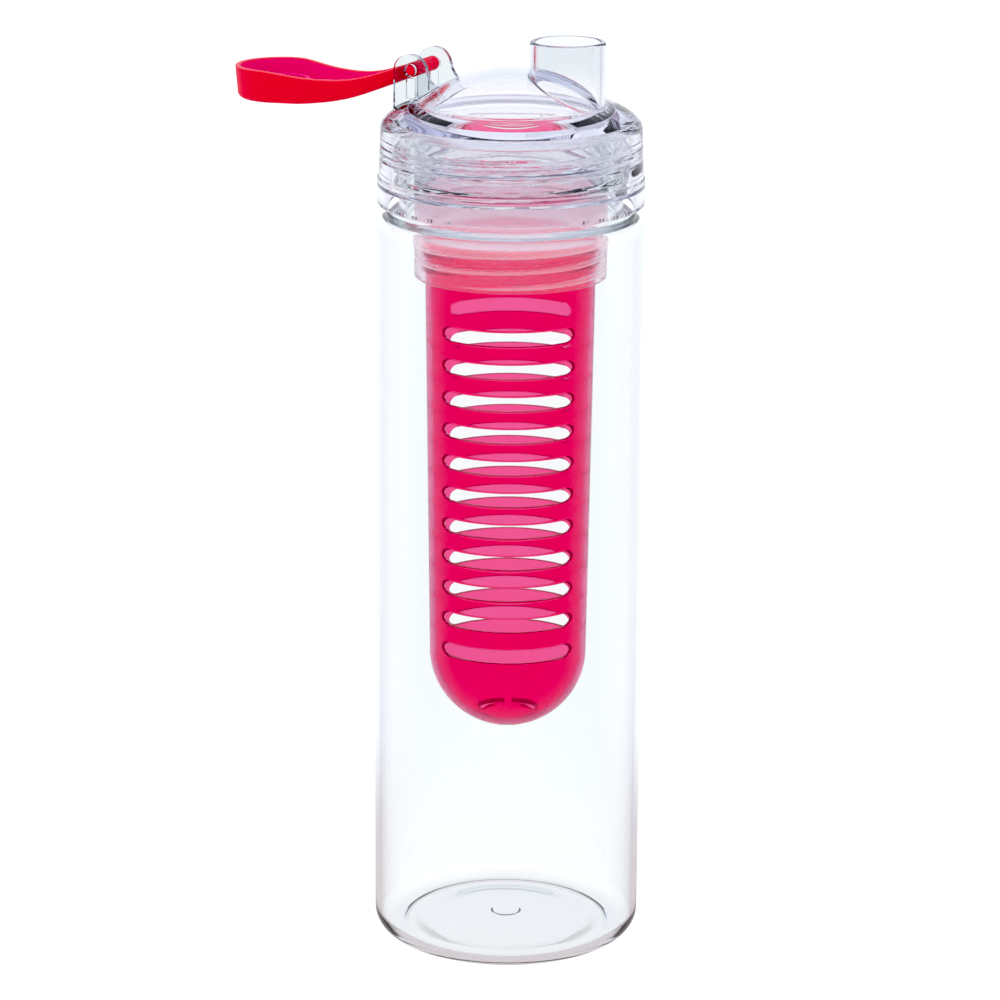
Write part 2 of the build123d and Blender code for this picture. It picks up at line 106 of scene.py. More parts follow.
def curve(points, t0=None, t1=None, n=24):
    """Smooth curve through 2-D points, with given end directions or free ends."""
    p = np.array(points, float)
    k = len(p)
    t = np.concatenate([[0], np.cumsum(np.hypot(*np.diff(p, axis=0).T))])
    h = np.diff(t)
    a = np.zeros((k, k))
    b = np.zeros((k, 2))
    for i in range(1, k - 1):
        a[i, i - 1], a[i, i], a[i, i + 1] = h[i], 2 * (h[i - 1] + h[i]), h[i - 1]
        b[i] = 3 * (h[i] * (p[i] - p[i - 1]) / h[i - 1] + h[i - 1] * (p[i + 1] - p[i]) / h[i])
    if t0 is None:
        a[0, 0], a[0, 1], b[0] = 2, 1, 3 * (p[1] - p[0]) / h[0]
    else:
        a[0, 0], b[0] = 1, unit(t0)
    if t1 is None:
        a[-1, -1], a[-1, -2], b[-1] = 2, 1, 3 * (p[-1] - p[-2]) / h[-1]
    else:
        a[-1, -1], b[-1] = 1, unit(t1)
    m = np.linalg.solve(a, b)
    out = []
    for u in np.linspace(0, t[-1], n):
        i = min(max(int(np.searchsorted(t, u) - 1), 0), k - 2)
        s = (u - t[i]) / h[i]
        out.append(tuple((1 + 2 * s) * (1 - s) ** 2 * p[i] + s * (1 - s) ** 2 * h[i] * m[i]
                         + s * s * (3 - 2 * s) * p[i + 1] + s * s * (s - 1) * h[i] * m[i + 1]))
    return out


def rounded(pts, n=5, loop=False):
    """Polyline whose corners given as (r, z, radius) are rounded."""
    out = []
    k = len(pts)
    for i, p in enumerate(pts):
        f = p[2] if len(p) > 2 else 0
        if not f or (not loop and i in (0, k - 1)):
            out.append((p[0], p[1]))
            continue
        a, b, c = (np.array(pts[j][:2], float) for j in ((i - 1) % k, i, (i + 1) % k))
        la, lc = np.hypot(*(a - b)), np.hypot(*(c - b))
        u, v = (a - b) / la, (c - b) / lc
        ang = math.acos(max(-1, min(1, float(u @ v))))
        if ang > math.pi - 0.02:
            out.append((p[0], p[1]))
            continue
        tl = min(f / math.tan(ang / 2), 0.48 * la, 0.48 * lc)
        f = tl * math.tan(ang / 2)
        cen = b + unit(u + v) * f / math.sin(ang / 2)
        s, e = b + u * tl - cen, b + v * tl - cen
        w = math.acos(max(-1, min(1, float(s @ e) / (f * f))))
        for j in range(n + 1):
            q = j / n
            d = (math.sin((1 - q) * w) * s + math.sin(q * w) * e) / math.sin(w)
            out.append(tuple(cen + d))
    return out


def rows(r0, z0, r1, z1, step):
    """Evenly spaced points strictly between two ends."""
    n = max(1, int(round(math.hypot(r1 - r0, z1 - z0) / step)))
    return [(r0 + (r1 - r0) * i / n, z0 + (z1 - z0) * i / n) for i in range(1, n)]


def ramp(x):
    x = np.clip(x, 0, 1)
    return x * x * (3 - 2 * x)


def thread(th, z, z0, pitch, height, depth, w_root, w_crest, phase=0.0, lead=0.07):
    """Height of a right-hand thread above its root, with run-out at both ends."""
    t = np.mod(th - phase, TAU) / TAU
    turns = height / pitch
    k = np.round((z - z0) / pitch - t)
    best = np.zeros_like(t + z)
    for dk in (-1, 0, 1):
        tau = t + k + dk
        d = np.abs(z - z0 - pitch * tau)
        side = ramp((w_root - d) / (w_root - w_crest))
        ends = ramp(np.minimum(tau, turns - tau) / lead)
        best = np.maximum(best, np.where((tau > 0) & (tau < turns), depth * side * ends, 0))
    return best


# ------------------------------------------------------------------ mesh helpers
def new_object(name, verts, faces, mats=None):
    me = bpy.data.meshes.new(name)
    me.from_pydata([tuple(v) for v in verts], [], faces)
    me.validate()
    obj = bpy.data.objects.new(name, me)
    bpy.context.scene.collection.objects.link(obj)
    if mats is not None:
        me.polygons.foreach_set("material_index", np.array(mats, dtype=np.int32))
    return obj


def lathe(name, prof, seg=320, push=None, flip=False, loop=False, at=(0, 0)):
    """Revolve a profile of (r, z) in mm. push(angle, r, z) moves points along the radius."""
    th = np.arange(seg) * TAU / seg
    verts, rings = [], []
    for r, z in prof:
        if r < 1e-6:
            rings.append([len(verts)])
            verts.append((at[0] * MM, at[1] * MM, z * MM))
            continue
        rr = np.full(seg, float(r))
        if push is not None:
            rr = rr + push(th, r, z)
        rings.append(list(range(len(verts), len(verts) + seg)))
        verts.extend(zip((at[0] + rr * np.cos(th)) * MM, (at[1] + rr * np.sin(th)) * MM,
                         np.full(seg, z * MM)))
    faces = []
    pairs = list(zip(rings[:-1], rings[1:]))
    if loop:
        pairs.append((rings[-1], rings[0]))
    for a, b in pairs:
        if len(a) == 1 and len(b) == 1:
            continue
        for j in range(seg):
            q = (j + 1) % seg
            if len(a) == 1:
                f = (a[0], b[q], b[j])
            elif len(b) == 1:
                f = (a[j], a[q], b[0])
            else:
                f = (a[j], a[q], b[q], b[j])
            faces.append(f[::-1] if flip else f)
    return new_object(name, verts, faces)


def weld(obj, dist=1e-6):
    bm = bmesh.new()
    bm.from_mesh(obj.data)
    bmesh.ops.remove_doubles(bm, verts=bm.verts, dist=dist)
    bmesh.ops.dissolve_degenerate(bm, edges=bm.edges, dist=dist * 0.1)
    bmesh.ops.recalc_face_normals(bm, faces=bm.faces)
    bm.to_mesh(obj.data)
    bm.free()
    return obj


def bake_modifiers(obj):
    dg = bpy.context.evaluated_depsgraph_get()
    dg.update()
    me = bpy.data.meshes.new_from_object(obj.evaluated_get(dg), preserve_all_data_layers=True,
                                         depsgraph=dg)
    old = obj.data
    obj.modifiers.clear()
    obj.data = me
    me.name = obj.name
    if old.users == 0:
        bpy.data.meshes.remove(old)
    return obj


def combine(obj, other, how):
    """Union or difference with another closed mesh, which is used up."""
    m = obj.modifiers.new("join", 'BOOLEAN')
    m.operation = how
    m.object = other
    m.solver = 'MANIFOLD'
    n = len(obj.data.polygons)
    bake_modifiers(obj)
    if len(obj.data.polygons) in (0, n):
        m = obj.modifiers.new("join", 'BOOLEAN')
        m.operation = how
        m.object = other
        m.solver = 'EXACT'
        bake_modifiers(obj)
    me = other.data
    bpy.data.objects.remove(other)
    bpy.data.meshes.remove(me)
    return obj


def bevel(obj, width, segs=3, angle=38):
    m = obj.modifiers.new("edge", 'BEVEL')
    m.width = width * MM
    m.segments = segs
    m.limit_method = 'ANGLE'
    m.angle_limit = math.radians(angle)
    m.harden_normals = False
    m.use_clamp_overlap = True
    return bake_modifiers(obj)


def smooth(obj, angle=32, weighted=True):
    me = obj.data
    me.polygons.foreach_set("use_smooth", np.ones(len(me.polygons), dtype=bool))
    me.set_sharp_from_angle(angle=math.radians(angle))
    if weighted:
        m = obj.modifiers.new("normals", 'WEIGHTED_NORMAL')
        m.mode = 'FACE_AREA'
        m.weight = 50
        m.keep_sharp = True
    return obj


def prism(name, outline, y0, y1):
    """Plate in the XZ plane, between two y values, from an outline of (x, z) in mm."""
    n = len(outline)
    verts = [(x * MM, y0 * MM, z * MM) for x, z in outline]
    verts += [(x * MM, y1 * MM, z * MM) for x, z in outline]
    faces = [tuple(range(n)), tuple(range(2 * n - 1, n - 1, -1))]
    faces += [(i, i + n, (i + 1) % n + n, (i + 1) % n) for i in range(n)]
    obj = new_object(name, verts, faces)
    bm = bmesh.new()
    bm.from_mesh(obj.data)
    bmesh.ops.recalc_face_normals(bm, faces=bm.faces)
    bm.to_mesh(obj.data)
    bm.free()
    return obj


def rod(name, x, z, r, y0, y1, seg=64):
    out = [(x + r * math.cos(TAU * i / seg), z + r * math.sin(TAU * i / seg)) for i in range(seg)]
    return prism(name, out, y0, y1)


# ------------------------------------------------------------------ materials
def material(name):
    m = bpy.data.materials.new(name)
    m.use_nodes = True
    nt = m.node_tree
    bsdf = nt.nodes["Principled BSDF"]
    out = nt.nodes["Material Output"]
    return m, nt, bsdf, out


def noise(nt, scale, detail=3.0, stretch=(1, 1, 1), rough=0.5):
    co = nt.nodes.new("ShaderNodeTexCoord")
    mp = nt.nodes.new("ShaderNodeMapping")
    mp.inputs["Scale"].default_value = stretch
    nz = nt.nodes.new("ShaderNodeTexNoise")
    nz.inputs["Scale"].default_value = scale
    nz.inputs["Detail"].default_value = detail
    nz.inputs["Roughness"].default_value = rough
    nt.links.new(co.outputs["Object"], mp.inputs["Vector"])
    nt.links.new(mp.outputs["Vector"], nz.inputs["Vector"])
    return nz


def spread(nt, src, lo, hi):
    mr = nt.nodes.new("ShaderNodeMapRange")
    mr.inputs["From Min"].default_value = 0.3
    mr.inputs["From Max"].default_value = 0.7
    mr.inputs["To Min"].default_value = lo
    mr.inputs["To Max"].default_value = hi
    nt.links.new(src, mr.inputs["Value"])
    return mr.outputs["Result"]


def bump(nt, src, bsdf, strength, distance):
    b = nt.nodes.new("ShaderNodeBump")
    b.inputs["Strength"].default_value = strength
    b.inputs["Distance"].default_value = distance
    nt.links.new(src, b.inputs["Height"])
    nt.links.new(b.outputs["Normal"], bsdf.inputs["Normal"])


def tint(nt, src, bsdf, c0, c1):
    mx = nt.nodes.new("ShaderNodeMix")
    mx.data_type = 'RGBA'
    mx.inputs["A"].default_value = (*c0, 1)
    mx.inputs["B"].default_value = (*c1, 1)
    nt.links.new(src, mx.inputs["Factor"])
    nt.links.new(mx.outputs["Result"], bsdf.inputs["Base Color"])


def absorb(nt, out, colour, density):
    v = nt.nodes.new("ShaderNodeVolumeAbsorption")
    v.inputs["Color"].default_value = (*colour, 1)
    v.inputs["Density"].default_value = density
    nt.links.new(v.outputs["Volume"], out.inputs["Volume"])


def calc(nt, op, a, b=None, clamp=False):
    m = nt.nodes.new("ShaderNodeMath")
    m.operation = op
    m.use_clamp = clamp
    for i, v in enumerate((a, b)):
        if v is None:
            continue
        if isinstance(v, (int, float)):
            m.inputs[i].default_value = v
        else:
            nt.links.new(v, m.inputs[i])
    return m.outputs[0]


def clear_plastic(name, ior, rough, absorb_colour, density, wave, tint0=(1, 1, 1),
                  tint1=(0.985, 0.99, 0.995), upper=None):
    m, nt, b, out = material(name)
    b.inputs["Transmission Weight"].default_value = 1.0
    b.inputs["IOR"].default_value = ior
    fine = noise(nt, 160, 4)
    nt.links.new(spread(nt, fine.outputs["Fac"], rough * 0.4, rough * 1.6), b.inputs["Roughness"])
    slow = noise(nt, 45, 2, stretch=(1, 1, 0.35))
    tint(nt, spread(nt, slow.outputs["Fac"], 0, 1), b, tint0, tint1)
    if upper:
        # painted shade: the base colour goes blue-grey towards the top of the lid
        z0, z1, top_shade_colour = upper
        co = nt.nodes.new("ShaderNodeTexCoord")
        sp = nt.nodes.new("ShaderNodeSeparateXYZ")
        nt.links.new(co.outputs["Object"], sp.inputs[0])
        mr = nt.nodes.new("ShaderNodeMapRange")
        mr.inputs["From Min"].default_value = z0
        mr.inputs["From Max"].default_value = z1
        nt.links.new(sp.outputs["Z"], mr.inputs["Value"])
        base = b.inputs["Base Color"].links[0].from_socket
        mx = nt.nodes.new("ShaderNodeMix")
        mx.data_type = 'RGBA'
        mx.inputs["B"].default_value = (*top_shade_colour, 1)
        nt.links.new(base, mx.inputs["A"])
        nt.links.new(mr.outputs["Result"], mx.inputs["Factor"])
        # painted shade: the thin lugs get a greyer base colour still
        x, y, z = sp.outputs
        r2 = calc(nt, 'ADD', calc(nt, 'MULTIPLY', x, x), calc(nt, 'MULTIPLY', y, y))
        dome = calc(nt, 'ADD', calc(nt, 'SQRT', calc(nt, 'SUBTRACT', 0.0389 ** 2, r2)), 0.2025)
        aside = calc(nt, 'ABSOLUTE', calc(nt, 'SUBTRACT', calc(nt, 'ABSOLUTE', y), 0.0076))
        lugs = calc(nt, 'MULTIPLY', calc(nt, 'LESS_THAN', x, -0.0165),
                    calc(nt, 'GREATER_THAN', z, dome))
        lugs = calc(nt, 'MULTIPLY', lugs, calc(nt, 'LESS_THAN', aside, 0.0009))
        my = nt.nodes.new("ShaderNodeMix")
        my.data_type = 'RGBA'
        my.inputs["B"].default_value = (0.78, 0.83, 0.85, 1)
        nt.links.new(mx.outputs["Result"], my.inputs["A"])
        nt.links.new(lugs, my.inputs["Factor"])
        nt.links.new(my.outputs["Result"], b.inputs["Base Color"])
    bump(nt, slow.outputs["Fac"], b, wave, 0.0004)
    absorb(nt, out, absorb_colour, density)
    return m


mat_body = clear_plastic("clear_bottle", 1.54, 0.008, (0.55, 0.80, 0.82), 9.0, 0.03,
                         (0.962, 0.98, 0.98), (0.952, 0.97, 0.975))
# the lid's base colour carries painted shade: blue-grey towards its top and greyer on the lugs
mat_lid = clear_plastic("clear_lid", 1.50, 0.008, (0.42, 0.46, 0.72), 14.0, 0.012,
                        upper=(0.2335, 0.2425, (0.88, 0.915, 0.93)))


def make_silicone():
    m, nt, b, out = material("white_silicone")
    b.inputs["Transmission Weight"].default_value = 0.95
    b.inputs["IOR"].default_value = 1.41
    f = noise(nt, 600, 4)
    nt.links.new(spread(nt, f.outputs["Fac"], 0.12, 0.2), b.inputs["Roughness"])
    tint(nt, f.outputs["Fac"], b, (0.93, 0.93, 0.95), (0.98, 0.98, 0.99))
    bump(nt, f.outputs["Fac"], b, 0.2, 0.0001)
    return m


def make_frosted():
    """Milky plastic; a painted highlight makes it paler and less clear along the helix of the thread's
    groove.
    """
    m, nt, b, out = material("frosted_sleeve")
    b.inputs["IOR"].default_value = 1.14
    f = noise(nt, 900, 5)
    nt.links.new(spread(nt, f.outputs["Fac"], 0.14, 0.20), b.inputs["Roughness"])
    g = noise(nt, 90, 3, stretch=(1, 1, 0.5))
    co = nt.nodes.new("ShaderNodeTexCoord")
    sp = nt.nodes.new("ShaderNodeSeparateXYZ")
    nt.links.new(co.outputs["Object"], sp.inputs[0])
    x, y, z = sp.outputs
    # painted highlight: a paler, less clear line follows the helix of the thread
    turn = calc(nt, 'DIVIDE', calc(nt, 'SUBTRACT', calc(nt, 'ARCTAN2', y, x), T_AZ), TAU)
    rise = calc(nt, 'SUBTRACT', calc(nt, 'DIVIDE', calc(nt, 'SUBTRACT', z, 0.1867), 0.0042), turn)
    off = calc(nt, 'ABSOLUTE', calc(nt, 'SUBTRACT', calc(nt, 'FRACT', calc(nt, 'ADD', rise, 0.5)), 0.5))
    painted_highlight_line = nt.nodes.new("ShaderNodeMapRange")
    painted_highlight_line.interpolation_type = 'SMOOTHSTEP'
    for k, v in (("From Min", 0.10), ("From Max", 0.03), ("To Min", 0.0), ("To Max", 1.0)):
        painted_highlight_line.inputs[k].default_value = v
    nt.links.new(off, painted_highlight_line.inputs["Value"])
    inside = calc(nt, 'MULTIPLY', calc(nt, 'GREATER_THAN', z, 0.1867), calc(nt, 'LESS_THAN', z, 0.1968))
    painted_highlight_line = calc(nt, 'MULTIPLY', painted_highlight_line.outputs["Result"], inside)
    # milkier towards the top of the sleeve
    top = nt.nodes.new("ShaderNodeMapRange")
    top.interpolation_type = 'SMOOTHSTEP'
    for k, v in (("From Min", 0.1935), ("From Max", 0.2005), ("To Min", 0.0), ("To Max", 1.0)):
        top.inputs[k].default_value = v
    nt.links.new(z, top.inputs["Value"])
    clear = calc(nt, 'SUBTRACT', 0.94, calc(nt, 'ADD', calc(nt, 'MULTIPLY', painted_highlight_line, 0.25),
                                            calc(nt, 'MULTIPLY', top.outputs["Result"], 0.30)))
    nt.links.new(clear, b.inputs["Transmission Weight"])
    tint(nt, spread(nt, g.outputs["Fac"], 0, 1), b, (0.998, 0.875, 0.925), (1.0, 0.895, 0.94))
    bump(nt, f.outputs["Fac"], b, 0.04, 0.00005)
    return m


def make_magenta():
    m, nt, b, out = material("translucent_magenta")
    b.inputs["Transmission Weight"].default_value = 0.93
    b.inputs["IOR"].default_value = 1.38
    b.inputs["Specular Tint"].default_value = (1.0, 0.18, 0.42, 1)
    f = noise(nt, 220, 4)
    nt.links.new(spread(nt, f.outputs["Fac"], 0.03, 0.09), b.inputs["Roughness"])
    g = noise(nt, 60, 2, stretch=(1, 1, 0.3))
    tint(nt, spread(nt, g.outputs["Fac"], 0, 1), b, (0.97, 0.146, 0.355), (0.975, 0.163, 0.375))
    # painted shade: the cut faces of the slots, which lie inside the wall, get a deep red base colour
    # and less transmission
    co = nt.nodes.new("ShaderNodeTexCoord")
    sp = nt.nodes.new("ShaderNodeSeparateXYZ")
    nt.links.new(co.outputs["Object"], sp.inputs[0])
    x, y, z = sp.outputs
    r = calc(nt, 'SQRT', calc(nt, 'ADD', calc(nt, 'MULTIPLY', x, x), calc(nt, 'MULTIPLY', y, y)))
    slope = (B_RT - B_RL) / (B_TOP - 0.4 - B_DZ)
    wall = calc(nt, 'ADD', calc(nt, 'MULTIPLY', z, slope), (B_RL - slope * B_DZ) * MM)
    deep = calc(nt, 'SUBTRACT', wall, r)
    cut_face_shade = calc(nt, 'MULTIPLY', calc(nt, 'GREATER_THAN', deep, 0.24 * MM),
               calc(nt, 'LESS_THAN', deep, (B_W - 0.10) * MM))
    cut_face_shade = calc(nt, 'MULTIPLY', cut_face_shade, calc(nt, 'MULTIPLY', calc(nt, 'GREATER_THAN', z, 0.0806),
                                         calc(nt, 'LESS_THAN', z, 0.176)))
    mx = nt.nodes.new("ShaderNodeMix")
    mx.data_type = 'RGBA'
    mx.inputs["B"].default_value = (0.47, 0.007, 0.025, 1)
    nt.links.new(b.inputs["Base Color"].links[0].from_socket, mx.inputs["A"])
    nt.links.new(cut_face_shade, mx.inputs["Factor"])
    nt.links.new(mx.outputs["Result"], b.inputs["Base Color"])
    nt.links.new(calc(nt, 'SUBTRACT', 0.93, calc(nt, 'MULTIPLY', cut_face_shade, 0.55)),
                 b.inputs["Transmission Weight"])
    bump(nt, g.outputs["Fac"], b, 0.12, 0.0004)
    absorb(nt, out, (0.99, 0.70, 0.85), 120.0)
    return m


def make_red(name, c0, c1, rough0, rough1, sss):
    m, nt, b, out = material(name)
    f = noise(nt, 1400, 5)
    nt.links.new(spread(nt, f.outputs["Fac"], rough0, rough1), b.inputs["Roughness"])
    g = noise(nt, 90, 3)
    tint(nt, spread(nt, g.outputs["Fac"], 0, 1), b, c0, c1)
    b.inputs["Specular IOR Level"].default_value = 0.3
    b.inputs["Subsurface Weight"].default_value = sss
    b.inputs["Subsurface Radius"].default_value = (1.0, 0.12, 0.2)
    b.inputs["Subsurface Scale"].default_value = 0.0012
    bump(nt, f.outputs["Fac"], b, 0.12, 0.00006)
    return m


mat_silicone = make_silicone()
mat_frosted = make_frosted()
mat_magenta = make_magenta()
mat_red = make_red("soft_red", (0.66, 0.0015, 0.038), (0.69, 0.0025, 0.042), 0.42, 0.56, 0.25)
# painted light: a brighter, pinker copy of the red for the inside of the hood and the plug
mat_red_inside_painted_light = make_red("soft_red_inside_painted_light", (0.78, 0.024, 0.205), (0.81, 0.030, 0.23), 0.45, 0.6, 0.25)
# painted highlight: a lighter copy of the red for the edges of the rim
mat_red_rim_painted_highlight = make_red("soft_red_edge_painted_highlight", (0.74, 0.05, 0.08), (0.77, 0.075, 0.10), 0.35, 0.5, 0.3)

# ------------------------------------------------------------------ bottle body
PUSH = 2.6


def body_profile():
    c45 = math.cos(math.pi / 4)
    p = [(0, PUSH - 0.4), (1.4, PUSH - 0.42), (3.0, PUSH - 0.4)]
    p += rounded([(3.0, PUSH - 0.4), (3.6, PUSH - 0.4, 0.3), (4.2, PUSH, 0.3), (5.2, PUSH - 0.01)])[1:]
    p += curve([(5.2, PUSH - 0.01), (16.0, PUSH * 0.86), (24.0, PUSH * 0.50), (28.6, 0.0)],
               (1, -0.01), (1, -0.75), 28)[1:]
    p += [(29.2, 0.0), (30.0, 0.0)]
    for i in range(15):
        a = math.pi / 2 * i / 14
        p.append((30.5 + 6 * math.sin(a), 6 - 6 * math.cos(a)))
    p += rows(36.5, 6, 36.5, 197.2, 4.0)
    p += curve([(36.5, 197.2), (35.75, 199.9), (33.9, 201.3)], (0, 1), (-1, 0.25), 16)
    p += rounded([(33.9, 201.3), (33.5, 201.42, 0.3), (33.5, 203.3, 1.1), (30.5, 203.3)], 8)[1:]
    p += rounded([(30.5, 203.3), (29.9, 203.3, 0.6), (29.9, 204.6)])[1:]
    p += [(29.9, 204.6 + 0.2 * i) for i in range(1, 91)]
    p += rounded([(29.9, 222.6), (29.9, 224.6, 0.45), (27.9, 224.6, 0.45), (27.9, 222.0)])[1:]
    p += rows(27.9, 222.0, 27.9, 203.2, 2.4)
    p += curve([(27.9, 203.2), (28.75, 201.5), (30.7, 200.75), (33.0, 199.95), (34.25, 198.8),
                (34.75, 196.9)], (0, -1), (0, -1), 34)
    p += rows(34.75, 196.9, 34.75, 6.6, 4.0)
    for i in range(13):
        a = math.pi / 2 * i / 12
        p.append((30.15 + 4.6 * math.cos(a), 6.6 - 4.6 * math.sin(a)))
    p += curve([(30.15, 2.0), (24.0, 2 + PUSH * 0.52), (16.0, 2 + PUSH * 0.88), (0, 2 + PUSH)],
               (-1, 0.05), (-1, 0), 30)[1:]
    p[-1] = (0, 2 + PUSH)
    return p


def body_push(th, r, z):
    out = np.zeros_like(th)
    if 205 < z < 223 and 29.8 < r < 30:
        out += thread(th, z, 208.9, 4.2, 12.0, 1.5, 1.167, 0.5)
    return out


body = lathe("bottle_body_shell", body_profile(), 320, body_push)
body.data.materials.append(mat_body)
smooth(body)
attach(body, "bottle")
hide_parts("bottle_body")

# ------------------------------------------------------------------ lid
DOME_R, DOME_Z, DOME_TOP = 24.4, 232.4, 241.0
SR = (DOME_R ** 2 + (DOME_TOP - DOME_Z) ** 2) / (2 * (DOME_TOP - DOME_Z))
CZ = DOME_TOP - SR
SHOULDER = curve([(24.9, 231.95), (28.4, 231.1), (31.9, 229.25), (33.9, 227.6), (34.85, 225.6)],
                 (1, -0.12), (0.1, -1), 40)
SH = np.array(SHOULDER)


def sphere_z(r, radius):
    return CZ + math.sqrt(radius ** 2 - r ** 2)


def lid_top(r):
    """Height of the outside of the dome and shoulder at a radius."""
    if r <= DOME_R:
        return sphere_z(r, SR)
    if r <= 24.9:
        return DOME_Z - (r - DOME_R) * 0.9
    return float(np.interp(r, SH[:33, 0], SH[:33, 1]))


def lid_profile():
    p = [(0, DOME_TOP)]
    p += [(r, sphere_z(r, SR)) for r in np.linspace(0.8, 24.1, 34)]
    p += rounded([(24.1, sphere_z(24.1, SR)), (24.4, 232.4, 0.25), (24.9, 231.95, 0.35),
                  SHOULDER[1]])[1:-1]
    p += SHOULDER[1:]
    zs = lambda z: 35.3 - (z - 212.4) / (226.2 - 212.4) * 0.45
    p += rows(34.85, 225.6, zs(222.6), 222.6, 0.8)
    band = [(zs(222.6), 222.6)]
    for gz in (221.5, 217.85):
        band += [(zs(gz + 0.66), gz + 0.66, 0.09), (zs(gz) - 0.5, gz + 0.42, 0.10),
                 (zs(gz) - 0.5, gz - 0.42, 0.10), (zs(gz - 0.66), gz - 0.66, 0.09)]
        if gz > 220:
            band += [(zs(219.7), 219.7)]
    band += [(zs(215.5), 215.5), (35.27, 212.75, 0.25), (35.65, 212.4, 0.2), (35.66, 209.0),
             (35.67, 205.05, 0.5), (34.2, 205.05), (32.9, 205.05, 0.1), (32.9, 205.2),
             (32.9, 205.25), (32.9, 205.7), (32.9, 205.75), (32.9, 209.6, 0.25),
             (32.0, 210.5, 0.4), (32.0, 212.6)]
    p += rounded(band, 4)
    p += [(32.0, 212.6 + 0.2 * i) for i in range(1, 61)]
    p += rounded([(32.0, 224.6), (32.0, 226.8, 0.4), (29.0, 226.8), (26.0, 226.8, 0.4),
                  (26.0, 218.0), (26.0, 209.4, 0.3), (24.0, 209.4, 0.2), (24.0, 205.0),
                  (24.0, 200.55, 0.2), (24.35, 200.05, 0.12), (24.35, 199.55, 0.12),
                  (24.0, 199.05, 0.2), (23.7, 197.5, 0.35), (22.5, 197.5, 0.35), (22.5, 203.0),
                  (22.5, 209.6, 0.9), (24.6, 212.2, 0.9), (24.6, 220.0),
                  (24.6, sphere_z(24.6, SR - 2.1), 1.0), (23.0, sphere_z(23.0, SR - 2.1))], 5)[1:]
    p += [(r, sphere_z(r, SR - 2.1)) for r in np.linspace(22.4, 0.8, 32)]
    p += [(0, sphere_z(0, SR - 2.1))]
    return p


def lid_push(th, r, z):
    out = np.zeros_like(th)
    if 212 < z < 225 and 31.9 < r < 32.1:
        out -= thread(th, z, 215.2, 4.2, 6.3, 1.75, 1.133, 0.45)
    if 205.22 < z < 205.73 and 32.8 < r < 33.0:
        # pairs of small nicks round the lower inside edge of the skirt
        a = np.mod(th * 40 / TAU, 1.0) - 0.5 + 1 / 18
        out += 0.22 * ramp((0.03 - np.abs(np.abs(a) - 1 / 9)) / 0.02)
    return out


lid = lathe("lid_shell", lid_profile(), 360, lid_push, flip=True)

# spout: tube standing on the dome, with a small fillet round its foot
SX, SPR, BORE, STOP = 15.96, 10.1, 8.58, 249.4


def spout_solid():
    seg = 180
    ph = np.arange(seg) * TAU / seg
    verts, rings = [], []

    def ring(rad, zfun):
        x, y = SX + rad * np.cos(ph), rad * np.sin(ph)
        z = np.array([zfun(math.hypot(a, b)) for a, b in zip(x, y)])
        rings.append(list(range(len(verts), len(verts) + seg)))
        verts.extend(zip(x * MM, y * MM, z * MM))

    for i in range(6):                                   # rounded rim
        a = math.pi / 2 * i / 5
        ring(SPR - 0.7 + 0.7 * math.sin(a), lambda r, a=a: STOP - 0.7 + 0.7 * math.cos(a))
    for z in (246.5, 243.0, 240.0):
        ring(SPR, lambda r, z=z: max(z, lid_top(r) + 0.8))
    f = 0.55
    for i in range(6):                                   # foot fillet
        a = math.pi / 2 * i / 5
        ring(SPR + f * (1 - math.cos(a)), lambda r, a=a: lid_top(r) + f * (1 - math.sin(a)) - 0.02)
    ring(SPR + f, lambda r: lid_top(r) - 0.9)
    for rad in (9.0, 6.0, 3.0):
        ring(rad, lambda r: lid_top(r) - 1.0)
    bottom = len(verts)
    verts.append((SX * MM, 0, (lid_top(SX) - 1.0) * MM))
    top = len(verts)
    verts.append((SX * MM, 0, STOP * MM))
    faces = []
    for a, b in zip(rings[:-1], rings[1:]):
        for j in range(seg):
            q = (j + 1) % seg
            faces.append((a[j], b[j], b[q], a[q]))
    for j in range(seg):
        q = (j + 1) % seg
        faces.append((rings[-1][j], bottom, rings[-1][q]))
        faces.append((rings[0][j], rings[0][q], top))
    obj = new_object("spout", verts, faces)
    return weld(obj, 1e-7)


def bore_cutter():
    p = [(0, 226.0), (BORE, 226.0), (BORE, 232.0), (BORE, 240.0), (BORE, 246.0)]
    for i in range(6):
        a = math.pi / 2 * i / 5
        p.append((BORE + 0.7 * (1 - math.cos(a)), STOP - 0.7 + 0.7 * math.sin(a)))
    p += [(BORE + 0.7, 252.0), (0, 252.0)]
    return lathe("bore", p, 180, at=(SX, 0))


combine(lid, spout_solid(), 'UNION')
combine(lid, bore_cutter(), 'DIFFERENCE')

# hinge lugs
HX, HZ, LUG_R, LUG_Y, LUG_T = -25.94, 239.75, 4.75, 7.6, 1.7


